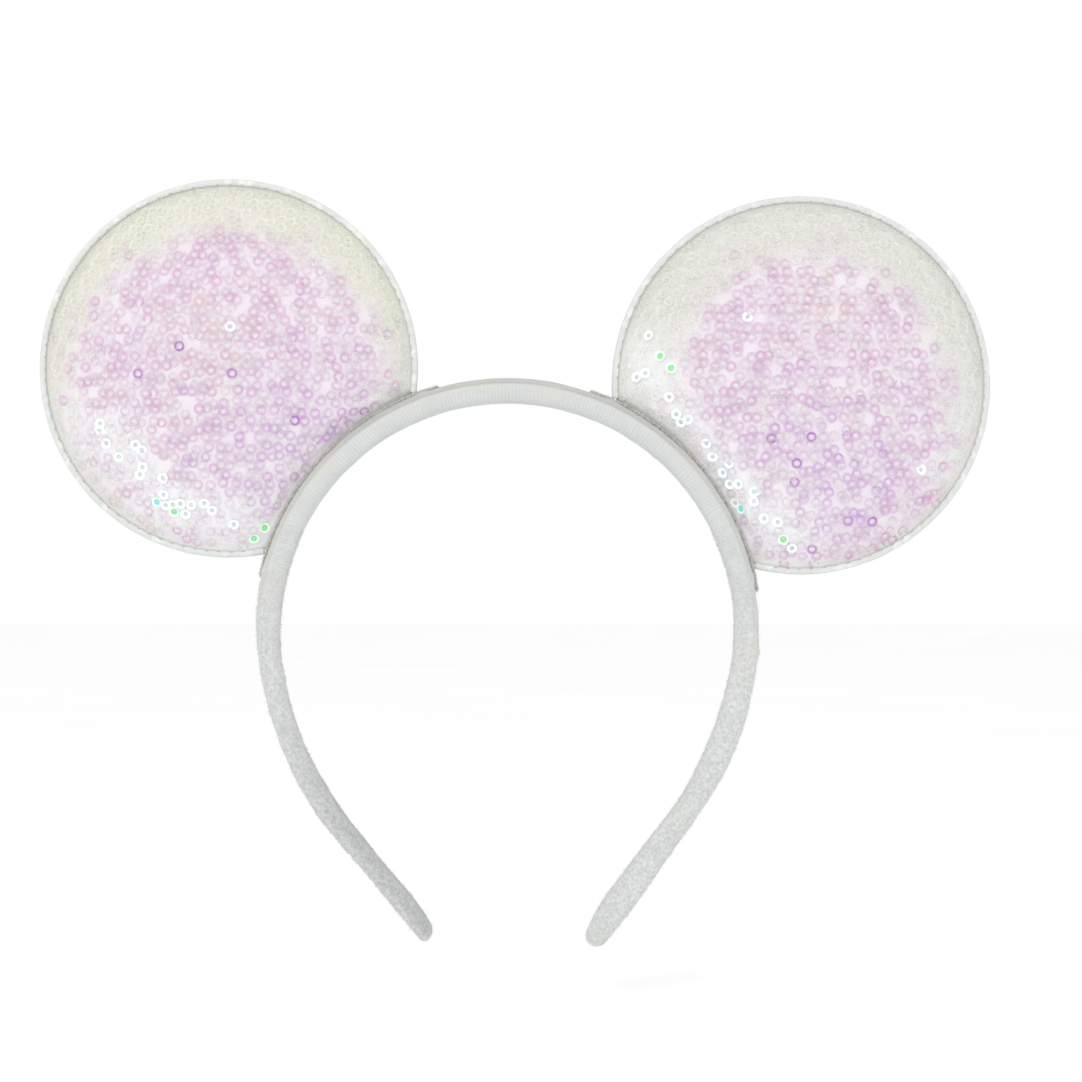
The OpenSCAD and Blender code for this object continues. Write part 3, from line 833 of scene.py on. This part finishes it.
# How far the settled cloth rose at any place: its grid is read between its four nearest points.
def clothRise(x, y, seed):
    grid = settled[seed]
    turn = np.arctan2(y, x)
    share = np.clip(np.hypot(x, y) / outlineRadius(turn, *clothInset), 0, 1)
    ring = (1 - (1 - share) ** (1 / settle["power"])) * settle["rings"]
    angle = np.mod(turn / (2 * np.pi), 1) * settle["angles"]
    ringStart, angleStart = np.minimum(ring.astype(int), settle["rings"] - 1), angle.astype(int)
    u, v = angle - angleStart, ring - ringStart
    read = lambda r, a: grid[r, a % settle["angles"]]
    lower = read(ringStart, angleStart) * (1 - u) + read(ringStart, angleStart + 1) * u
    upper = read(ringStart + 1, angleStart) * (1 - u) + read(ringStart + 1, angleStart + 1) * u
    return lower * (1 - v) + upper * v


# A piece that bears its ear's name and rides with it.
def earPiece(place, name, points, faces, slot, **more):
    return makePiece(place["name"] + name, points, faces, body="crown_and_ears", slot=slot, **more)


# Turns points in an ear's own plane, and their height over it, into the row frame.
def earPoints(place, face, x, y, high):
    c, s = place["turn"]
    sign = -1 if face == "front" else 1
    return together(place["x"] + x * c + y * s, sign * high, place["z"] - x * s + y * c)


# A fan-shaped grid over the ear, closer together towards its outline.
def earGrid(angles, rings, inset, baseInset, power=1.7):
    turn = roundTurn(angles)
    share = 1 - (1 - np.linspace(0, 1, rings + 1)[1:]) ** power
    radius = share[:, None] * outlineRadius(turn, inset, baseInset)[None]
    return radius * np.cos(turn), radius * np.sin(turn)


# The faces of a fan-shaped grid whose last point is its centre.
def discFaces(rings, angles):
    return [gridFaces(rings, angles, 0, True), fanFaces(np.arange(angles), rings * angles)[:, ::-1]]


# An ear's cloth: the fan-shaped grid raised to the cloth's height, then given its thickness inwards.
def coverPiece(place, face, seed):
    x, y = earGrid(*grids["cover"], *clothInset)
    points = earPoints(place, face, x, y, clothHeight(x, y, seed)).reshape(-1, 3)
    centre = np.zeros(1)
    top = earPoints(place, face, centre, centre, clothHeight(centre, centre, seed))
    toRim, toBase = np.maximum(seamRadius - np.hypot(x, y), 0), np.maximum(overBand(x, y), 0)
    towardsCrown = -math.copysign(1, place["angle"]) * x
    # painted shade along the ear's base, strongest towards the crown
    heel = np.exp(-((toBase / 1.6) ** 2)) * (0.45 + 0.55 * easeIn(-6, 26, towardsCrown))
    zone = paintedLightZones[place["side"]]
    dx, dz = points[:, 0] - place["x"], points[:, 2] - place["z"]
    far = np.hypot((dx - zone["centre"][0]) / zone["size"][0], (dz - zone["centre"][1]) / zone["size"][1])
    # tone follows the sequins' painted iridescent zones, as do upper and ashen below
    tone = 1 - easeIn(0.84, 1.08, far + 0.06 * lumps(seed + 4, together(dx, dz), 18))
    facts = {
        "seam": np.append(np.exp(-toRim / 1.1), 0),
        "heel": np.append(heel, 0),
        "tone": np.append(tone, 1),
        # painted highlight haze round the glint line
        "haze": np.append(np.exp(-((distanceTo(zone["glint"], dx, dz) / 9) ** 2)), 0),
        "upper": np.append(easeIn(-22, 16, dz), 0),
        "ashen": np.full(len(tone) + 1, zone["ashen"]),
    }
    inside = (place["x"], 0, place["z"])
    every = np.concatenate([points, top])
    piece = earPiece(place, face + "_cloth", every, discFaces(*x.shape), "ear_cloth", facts=facts, inside=inside)
    wall = piece.modifiers.new("cloth thickness", "SOLIDIFY")
    wall.thickness, wall.offset = ear["clothThick"] * mm, -1
    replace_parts(piece, f"{place['name']}{face}_cover")
    return piece


# The wadding: a lumpy dome a little inside the cloth, over a flat face that lies along the board.
def waddingPiece(place, face, seed):
    x, y = earGrid(*grids["wadding"])
    spot = together(x, y)
    floor = ear["boardThick"] / 2 + 0.05
    high = domeHeight(x, y, ear["lining"] + 0.15) - 0.25 - 0.2 * lumps(seed, spot, 9)
    upper = earPoints(place, face, x, y, np.maximum(high, floor + 0.3))
    lower = earPoints(place, face, x, y, np.full(x.shape, floor))
    rings, angles = x.shape
    count = rings * angles
    middle = earPoints(place, face, np.zeros(2), np.zeros(2), np.array([ear["domeHigh"] - 1.6, floor]))
    ring = np.arange(angles)
    edge = ring + (rings - 1) * angles
    faces = [
        gridFaces(rings, angles, 0, True),
        gridFaces(rings, angles, count, True)[:, ::-1],
        together(edge, np.roll(edge, -1), np.roll(edge, -1) + count, edge + count),
        fanFaces(ring, 2 * count)[:, ::-1],
        fanFaces(ring + count, 2 * count + 1),
    ]
    points = np.concatenate([upper.reshape(-1, 3), lower.reshape(-1, 3), middle])
    piece = earPiece(place, face + "_fibre_wadding", points, faces, "wadding")
    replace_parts(piece, f"{place['name']}{face}_wadding")
    return piece


# Where each ear's sequins show painted iridescent reflection in pink and violet, where the peach ones gather, and where
# they catch the light
# as painted highlights: offsets in millimetres from the ear's centre, to the right and up.
paintedLightZones = {
    "left": {
        "centre": (0, -4.3), "size": (43, 42), "violet": (22, -22), "peach": (-4, 10), "ashen": 0.1,
        "glint": ((-31, -17), (-14, -36), (6, -43)),
        "green": ((8, -44), (11, -45), (-14, -37)), "cyan": ((-18, -34),),
    },
    "right": {
        "centre": (1.7, -7), "size": (38.5, 43), "violet": (4, -26), "peach": (8, 22), "ashen": 0.8,
        "glint": ((-41, 5), (-24, -20), (-2, -41)),
        "green": ((-36, 7), (-34, 5), (-4, -40)), "cyan": ((-16, -32),),
    },
}
# the sequins' painted iridescent reflection tints, and white, cyan and green for painted highlights
tints = {
    "pale": dye(246, 247, 233), "grey": dye(238, 239, 236), "pink": dye(231, 188, 219), "soft": dye(233, 219, 228),
    "violet": dye(218, 168, 231), "peach": dye(240, 206, 196), "purple": dye(192, 104, 206),
    "magenta": dye(226, 146, 206), "white": dye(246, 252, 250), "cyan": dye(120, 240, 240), "green": dye(130, 250, 130),
}


# Distance from points to a line of straight runs.
def distanceTo(line, x, z):
    best = np.full(x.shape, 1e9)
    for (ax, az), (bx, bz) in zip(line, line[1:]):
        wide, high = bx - ax, bz - az
        t = np.clip(((x - ax) * wide + (z - az) * high) / (wide**2 + high**2), 0, 1)
        best = np.minimum(best, np.hypot(x - ax - t * wide, z - az - t * high))
    return best


# 1 at a place, falling away round it as a bell does.
def bell(dx, dz, middle, wide, high):
    return np.exp(-(((dx - middle[0]) / wide) ** 2) - ((dz - middle[1]) / high) ** 2)


# Each sequin's painted iridescent reflection tint and painted highlight (shine), from the zones of its ear with seeded
# noise.
def sequinTints(place, dx, dz, rng, seed):
    zone = paintedLightZones[place["side"]]
    spot = together(dx, dz)
    far = np.hypot((dx - zone["centre"][0]) / zone["size"][0], (dz - zone["centre"][1]) / zone["size"][1])
    near = distanceTo(zone["glint"], dx, dz)
    # painted iridescent reflection: pink in the middle, paler in the painted highlight haze along the glint line
    pinkness = 1 - easeIn(0.86, 1.04, far + 0.08 * lumps(seed, spot, 16) + rng.normal(0, 0.05, dx.shape))
    pinkness = pinkness * (1 - 0.7 * np.exp(-((near / 6) ** 2)))
    glow = bell(dx, dz, zone["violet"], 26, 22)
    violet = np.clip(glow + 0.3 * lumps(seed + 1, spot, 14) + rng.normal(0, 0.15, dx.shape), 0, 1)
    warmth = bell(dx, dz, zone["peach"], 20, 16)
    peach = 0.8 * easeIn(0.62, 1.2, warmth + 0.35 * lumps(seed + 2, spot, 12) + rng.normal(0, 0.1, dx.shape))
    mix = lambda a, b, share: a + (b - a) * share[:, None]
    colour = lambda name: np.array(tints[name])[None]
    # painted iridescent reflection: paler and yellower towards the top, greyer towards the lower left
    edge = mix(colour("grey"), colour("pale"), easeIn(-25, 10, dz - dx * 0.3 + 6 * lumps(seed + 3, spot, 20)))
    rosy = mix(mix(colour("pink"), colour("peach"), peach), colour("violet"), violet * (1 - peach))
    # some films face away from the light and stay almost clear
    turned = np.clip(0.5 + 0.7 * lumps(seed + 6, spot, 8) + rng.normal(0, 0.27, dx.shape), 0.02, 1)
    tint = mix(mix(edge, colour("soft"), pinkness), rosy, pinkness * turned)
    # the lowest rows fold under, and their painted iridescent reflection is peach and magenta
    hem = 0.7 * easeIn(7, 3.5, seamRadius - np.hypot(dx, dz)) * easeIn(-20, -32, dz)
    hem = hem * np.clip(0.5 + 0.8 * lumps(seed + 7, spot, 10), 0, 1)
    warmEnd = easeIn(-4, -16, dx) * 0.8 + 0.1
    hemTint = np.where((rng.random(dx.shape) < warmEnd)[:, None], colour("peach"), colour("magenta"))
    tint = mix(tint, hemTint, hem)
    deep = (rng.random(dx.shape) < 0.004 + 0.05 * glow**2) & (pinkness > 0.5)
    tint = np.where(deep[:, None], colour("purple"), tint)
    # painted highlights: sequins near the glint line, and the listed green and cyan ones, are painted as glints
    shine = (rng.random(dx.shape) < 0.36 * np.exp(-((near / 3.0) ** 2)) + 0.004) & ~deep
    glint = np.broadcast_to(colour("white"), tint.shape)
    for bright in ("green", "cyan"):
        for px, pz in zone[bright]:
            nearest = np.argmin(np.hypot(dx - px, dz - pz))
            shine[nearest] = True
            glint = np.where((np.arange(len(dx)) == nearest)[:, None], colour(bright), glint)
    film = 0.42 + 0.58 * np.maximum(pinkness, hem) * (0.5 + 0.5 * turned) + rng.normal(0, 0.06, dx.shape)
    return np.where(shine[:, None], glint, tint), shine.astype(float), np.clip(film, 0.2, 1)


# Cup sequins in rows that run level across the ear. Each is rings of points round its hole, laid in the plane
# that touches the cloth, with a small seeded tilt towards its neighbour.
def sequinPieces(place, face, seed):
    rng = np.random.default_rng(seed)
    side = place["side"]
    rows = np.arange(-earRadius, earRadius, sequin["rowPitch"])
    columns = int(2 * earRadius / sequin["pitch"]) + 4
    steps = sequin["pitch"] * rng.uniform(0.6, 1.4, (len(rows), columns))
    dx = np.cumsum(steps, 1) - earRadius - rng.uniform(0, 3, (len(rows), 1))
    level = np.broadcast_to(rows[:, None], dx.shape)
    dz = level + rng.normal(0, 0.42, dx.shape) + 0.5 * lumps(seed, together(dx, level), 40, 2)
    dx, dz = dx.ravel(), dz.ravel()
    c, s = place["turn"]
    x, y = dx * c - dz * s, dx * s + dz * c
    keep = (np.hypot(x, y) < seamRadius - sequin["offRim"]) & (overBand(x, y) > sequin["offBand"])
    keep &= rng.random(x.shape) > 0.03 + 0.05 * easeIn(0.2, 0.8, lumps(seed + 5, together(dx, dz), 11))
    x, y, dx, dz = x[keep], y[keep], dx[keep], dz[keep]
    clothSeed = clothSeeds[side, face]
    high = clothHeight(x, y, clothSeed)
    e = 0.6
    slopeX = (clothHeight(x + e, y, clothSeed) - clothHeight(x - e, y, clothSeed)) / (2 * e)
    slopeY = (clothHeight(x, y + e, clothSeed) - clothHeight(x, y - e, clothSeed)) / (2 * e)
    # the sequins in a row lean on the next one, which lies to the right
    tiltX = np.clip(slopeX, -1, 1) + 0.1 * c + rng.normal(0, 0.07, x.shape)
    tiltY = np.clip(slopeY, -1, 1) - 0.1 * s + rng.normal(0, 0.07, x.shape)
    normal = unit(together(-tiltX, -tiltY, 1.0))
    first = unit(together(normal[:, 2], 0.0, -normal[:, 0]))
    second = np.cross(normal, first)
    corners = sequin["corners"]
    turn = roundTurn(corners)
    radii = np.array(sequin["rings"])[None, :, None] * rng.uniform(0.96, 1.03, (len(x), 1, 1))
    lift = np.array(sequin["heights"])[None, :, None] + rng.uniform(-0.02, 0.16, (len(x), 1, 1))
    spin = rng.uniform(0, 2 * np.pi, (len(x), 1, 1)) + turn[None, None]
    centre = together(x, y, high)
    local = centre[:, None, None]
    for size, way in ((radii * np.cos(spin), first), (radii * np.sin(spin), second), (lift, normal)):
        local = local + size[..., None] * way[:, None, None]
    points = earPoints(place, face, local[..., 0], local[..., 1], local[..., 2]).reshape(-1, 3)
    per = len(sequin["rings"]) * corners
    faces = repeatFaces(gridFaces(len(sequin["rings"]), corners, 0, True), len(x), per)
    flip = 1 if face == "front" else -1
    tint, shine, film = sequinTints(place, dx * flip if face == "back" else dx, dz, rng, seed + 9)
    facts = {
        "tint": np.repeat(tint, per, 0),
        "ring": np.tile(np.repeat([0.0, 0.3, 0.7, 1.0], corners), len(x)),
        "shine": np.repeat(shine, per),
        "film": np.repeat(film, per),
    }
    # a cup opens away from the cloth, so its faces point the way that the ear's surface does
    look = {"facts": facts, "inside": (place["x"], 0, place["z"]), "finish": "sequin_film"}
    piece = earPiece(place, face + "_cup_sequins", points, [faces], "sequins", **look)
    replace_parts(piece, f"{place['name']}{face}_sequins")
    # most threads go on along the row, and a few go back
    forward = np.where(rng.random(x.shape) < 0.85, 1, -1)[:, None]
    way = np.array([c, -s]) * forward
    sequinThread(place, face, centre, way, slopeX[:, None] * way[:, :1] + slopeY[:, None] * way[:, 1:])
    return len(x)


# Clear thread from each sequin's hole over its rim: a three-sided tube along a bowed line of three points.
def sequinThread(place, face, centre, way, rise):
    reach, bow = np.array([0.0, 0.9, 1.62]), np.array([0.08, 0.62, 0.3])
    flat = centre[:, None, :2] + way[:, None] * reach[:, None]
    path = np.concatenate([flat, (centre[:, 2:] + bow + rise * reach)[..., None]], -1)
    third = roundTurn(3)[:, None]
    sideways = together(-way[:, 1], way[:, 0], 0.0)[:, None, None]
    tube = path[:, :, None] + sequin["thread"] * (np.cos(third) * sideways + np.sin(third) * np.array([0, 0, 1.0]))
    points = earPoints(place, face, tube[..., 0], tube[..., 1], tube[..., 2]).reshape(-1, 3)
    prism, ends = gridFaces(3, 3, 0, True), np.array([[2, 1, 0], [6, 7, 8]])
    faces = [repeatFaces(one, len(way), 9) for one in (prism, ends)]
    earPiece(place, face + "_sequin_thread", points, faces, "sequins", finish="clear_thread")


# A run of rings along an ear, closed at both ends by a fan to the ring's middle.
def closedRun(place, name, points, facts, slot):
    rows, around = points.shape[:2]
    flat = points.reshape(-1, 3)
    ring, count = np.arange(around), len(flat)
    faces = [
        gridFaces(rows, around, 0, True),
        fanFaces(ring, count)[:, ::-1],
        fanFaces(ring + (rows - 1) * around, count + 1),
    ]
    facts = {fact: np.append(values, [0, 0]) for fact, values in facts.items()}
    every = np.concatenate([flat, points[[0, -1]].mean(1)])
    return earPiece(place, name, every, faces, slot, facts=facts)


# The binding: a flattened round section carried round the ear's circle, pinched at each stitch.
def bindingPiece(place, seed):
    rows, around = grids["binding"]
    turn = np.linspace(-rimHalf, rimHalf, rows)[:, None]
    facing = roundTurn(around)[None]
    middle = earRadius - ear["rimWide"] / 2
    s = turn * middle  # the distance walked
    shape = lambda v: np.sign(v) * np.abs(v) ** 0.75
    out, deep = shape(np.cos(facing)), shape(np.sin(facing))
    pinch = 1 - np.abs(np.sin(np.pi * (s / ear["stitchPitch"] + 0.5 * stitchShift))) ** 0.7
    inner = easeIn(-0.1, -0.9, out)
    ringSpot = np.concatenate([np.cos(turn), np.sin(turn)], 1) * middle
    wave = lumps(seed, ringSpot, 9)[:, None]
    thick = ear["rimThick"] / 2 * (1 - 0.16 * pinch * (0.3 + 0.7 * inner) + 0.05 * wave)
    wide = ear["rimWide"] / 2 * (1 + 0.02 * (1 - pinch) + 0.06 * wave)
    crease = 0.05 * np.sin(2 * np.pi * s / 0.8 + 2.2 * deep + 3 * wave) * (1 - inner)
    radius = middle + out * (wide + crease)
    high = deep * (thick + crease)
    x, y = radius * np.sin(turn), radius * np.cos(turn)
    facts = {"squeeze": np.broadcast_to(pinch, radius.shape), "across": np.broadcast_to(out, radius.shape)}
    piece = closedRun(place, "satin_binding", earPoints(place, "back", x, y, high), facts, "satin_binding")
    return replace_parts(piece, place["name"] + "rim_binding")


# Loops of thread, each a tube on a rounded rectangle that lies in the plane of its two ways.
def threadLoops(centres, firstWay, secondWay, halfFirst, halfSecond, radius, seed):
    rng = np.random.default_rng(seed)
    steps, around = 16, 6
    t = roundTurn(steps)
    shape = lambda v: np.sign(v) * np.abs(v) ** 0.55
    a, b = shape(np.cos(t)) * halfFirst, shape(np.sin(t)) * halfSecond
    slant = rng.normal(0, 0.08, (len(centres), 1))
    a = a[None] + slant * b[None]
    b = np.broadcast_to(b[None], a.shape)
    line = centres[:, None] + a[..., None] * firstWay[:, None] + b[..., None] * secondWay[:, None]
    ahead = unit(np.roll(line, -1, 1) - np.roll(line, 1, 1))
    sideWay = np.cross(firstWay, secondWay)[:, None]
    outWay = np.cross(ahead, np.broadcast_to(sideWay, ahead.shape))
    u = roundTurn(around)
    tube = np.cos(u)[:, None] * outWay[:, :, None] + np.sin(u)[:, None] * sideWay[:, :, None]
    points = line[:, :, None] + radius * tube
    r, c = np.arange(steps)[:, None] * around, np.arange(around)
    rNext, cNext = np.roll(r, -1, 0), (c + 1) % around
    one = together(r + c, r + cNext, rNext + cNext, rNext + c).reshape(-1, 4)
    return points.reshape(-1, 3), [repeatFaces(one, len(centres), steps * around)]


rowRadius = seamRadius + ear["thread"]
stitchCount = int(2 * (rimHalf - stitches["rim"]["clear"]) * rowRadius / ear["stitchPitch"])
stitchShift = stitchCount % 2


# The dotted seam: loops through the rim at an even pitch round the ear.
def rimStitchPiece(place, seed):
    turn = (np.arange(stitchCount) + 0.5 - stitchCount / 2) * ear["stitchPitch"] / rowRadius
    c, s = place["turn"]
    centres = earPoints(place, "back", rowRadius * np.sin(turn), rowRadius * np.cos(turn), 0)
    along = together(np.cos(turn) * c - np.sin(turn) * s, 0.0, -np.cos(turn) * s - np.sin(turn) * c)
    through = np.broadcast_to(np.array([0.0, 1.0, 0.0]), along.shape)
    rim = stitches["rim"]
    deep = ear["rimThick"] / 2 - rim["inside"]
    points, faces = threadLoops(centres, along, through, rim["half"], deep, rim["thread"], seed)
    piece = earPiece(place, "rim_thread", points, faces, "rim_thread")
    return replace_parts(piece, place["name"] + "rim_stitches")


stripHalf = baseHalf + ear["stripTail"] / baseRadius


# The felt strip: a thin rounded section carried round the band, narrowing to round ends, with a fuzzy edge.
def feltStripPiece(place, seed):
    rows, around = grids["strip"]
    turn = np.linspace(-stripHalf - 0.03, stripHalf + 0.03, rows)
    walked = (turn - turn[0]) * baseRadius
    toEnd = np.minimum(walked, walked[-1] - walked)
    halfWide = ear["stripWide"] / 2
    narrow = np.sqrt(np.maximum(1 - np.maximum(1 - toEnd / halfWide, 0) ** 2, 0)) * (halfWide - 0.35) + 0.02
    outs, deep, facing, _ = bandSection(around, ear["stripThick"] + 0.25, 2, 0.45)
    outs = outs - 0.08
    spot = together(walked[:, None], deep[None] * 3, outs[None] * 3)
    fuzz = 0.07 * lumps(seed, spot, 1.6, 3)
    high = outs[None] * np.minimum(1, (toEnd[:, None] + 0.15) / 0.5) + fuzz * np.cos(facing)
    y = deep[None] * narrow[:, None] + fuzz * np.sin(facing) * 1.4
    radius = bandOuter + ear["stripThick"] / 2 + high
    angle = turn[:, None] + place["angle"]
    points = together(radius * np.sin(angle), y, radius * np.cos(angle))
    facts = {"frayed": np.broadcast_to(np.abs(np.sin(facing)) ** 2, radius.shape)}
    # the strip's felt is painted grey, as painted shade at the ear's base
    piece = closedRun(place, "felt_strip", points, facts, "felt")
    fray = fibrePiece(place["name"] + "felt_fray", piece, "frayed", 0.4, ear["fray"], "felt", "felt_fray", seed)
    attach(fray, "crown_and_ears")
    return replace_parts(piece, place["name"] + "base_strip")


# Whip stitches: loops at both edges of the felt strip, evenly spaced round the band.
def whipStitchPiece(place, seed):
    whip, count = stitches["whip"], stitches["whip"]["count"]
    turn = np.repeat((np.arange(count) + 0.5) * 2 * stripHalf / count - stripHalf, 2) + place["angle"]
    edge = np.tile([-1.0, 1.0], count) * ear["stripWide"] / 2
    out = together(np.sin(turn), 0.0, np.cos(turn))
    centres = out * (bandOuter + whip["over"]) + together(0.0, edge * whip["edge"], 0.0)
    across = np.broadcast_to(np.array([0.0, 1.0, 0.0]), out.shape)
    points, faces = threadLoops(centres, out, across, *whip["half"], whip["thread"], seed)
    piece = earPiece(place, "base_thread", points, faces, "base_thread")
    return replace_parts(piece, place["name"] + "base_stitches")


clothSeeds = {("left", "front"): 101, ("left", "back"): 131, ("right", "front"): 161, ("right", "back"): 191}
for side, place in ears.items():
    for face in ("front", "back"):
        seed = clothSeeds[side, face]
        settleCloth(seed)
        coverPiece(place, face, seed)
        waddingPiece(place, face, seed + 3)
        count = sequinPieces(place, face, seed + 7)
        print(side, face, "sequins:", count)
    bindingPiece(place, 41)
    rimStitchPiece(place, 43)
    feltStripPiece(place, 47)
    whipStitchPiece(place, 53)
    board = frame["nodes"][side + "_ear_stiffener"]
    board.data.materials.clear()
    board.data.materials.append(finishes["ear_board"])
print("ears made")

# the camera looks straight back, and a width of the view in millimetres fills its frame at the ears' plane
view = {"lens": 85, "sensor": 36, "wide": 286.2, "x": 8.9, "z": 23.5}
camera = bpy.data.objects.new("camera", bpy.data.cameras.new("camera"))
camera.data.lens, camera.data.sensor_width = view["lens"], view["sensor"]
camera.data.clip_start, camera.data.clip_end = 0.01, 20
camera.location = (view["x"] * mm, -view["wide"] * mm * view["lens"] / view["sensor"], view["z"] * mm)
camera.rotation_euler = (math.pi / 2, 0, 0)
bpy.context.scene.collection.objects.link(camera)
bpy.context.scene.camera = camera

floorPoints = 3000 * np.array([[-1, -1, 0], [1, -1, 0], [1, 1, 0], [-1, 1, 0]], float)
legReach = math.hypot(abs(pivots["left_leg"][0]) - 20, pivots["left_leg"][2] - cadBox[0][2] / mm)
floorPoints[:, 2] = pivots["left_leg"][2] - legReach - 1  # the tips come this low when the legs open
floor = makePiece("floor", floorPoints, [np.array([[0, 1, 2, 3]])], inside=(0, 0, -9000), finish="pale_floor")


# A soft square light that looks at the middle of the headband.
def softLight(name, place, wide, watts, tint):
    data = bpy.data.lights.new(name, "AREA")
    data.size, data.energy, data.color = wide, watts, tint
    lamp = bpy.data.objects.new(name, data)
    lamp.location = place
    aim = np.array([0.0, 0.0, 0.02]) - np.array(place)
    lean, turn = math.atan2(math.hypot(aim[0], aim[1]), -aim[2]), math.atan2(aim[1], aim[0]) - math.pi / 2
    lamp.rotation_euler = (lean, 0, turn)
    bpy.context.scene.collection.objects.link(lamp)


softLight("key_light", (-0.55, -0.9, 0.75), 0.7, 2.3, (1.0, 0.99, 0.97))
softLight("fill_light", (0.8, -0.7, 0.3), 0.9, 0.7, (0.95, 0.98, 1.0))
world = bpy.data.worlds.new("studio")
world.use_nodes = True
sky = world.node_tree.nodes["Background"]
sky.inputs["Color"].default_value = (1, 1, 1, 1)
sky.inputs["Strength"].default_value = 1.0
bpy.context.scene.world = world
bpy.context.scene.view_settings.view_transform = "Standard"
print("stage made")
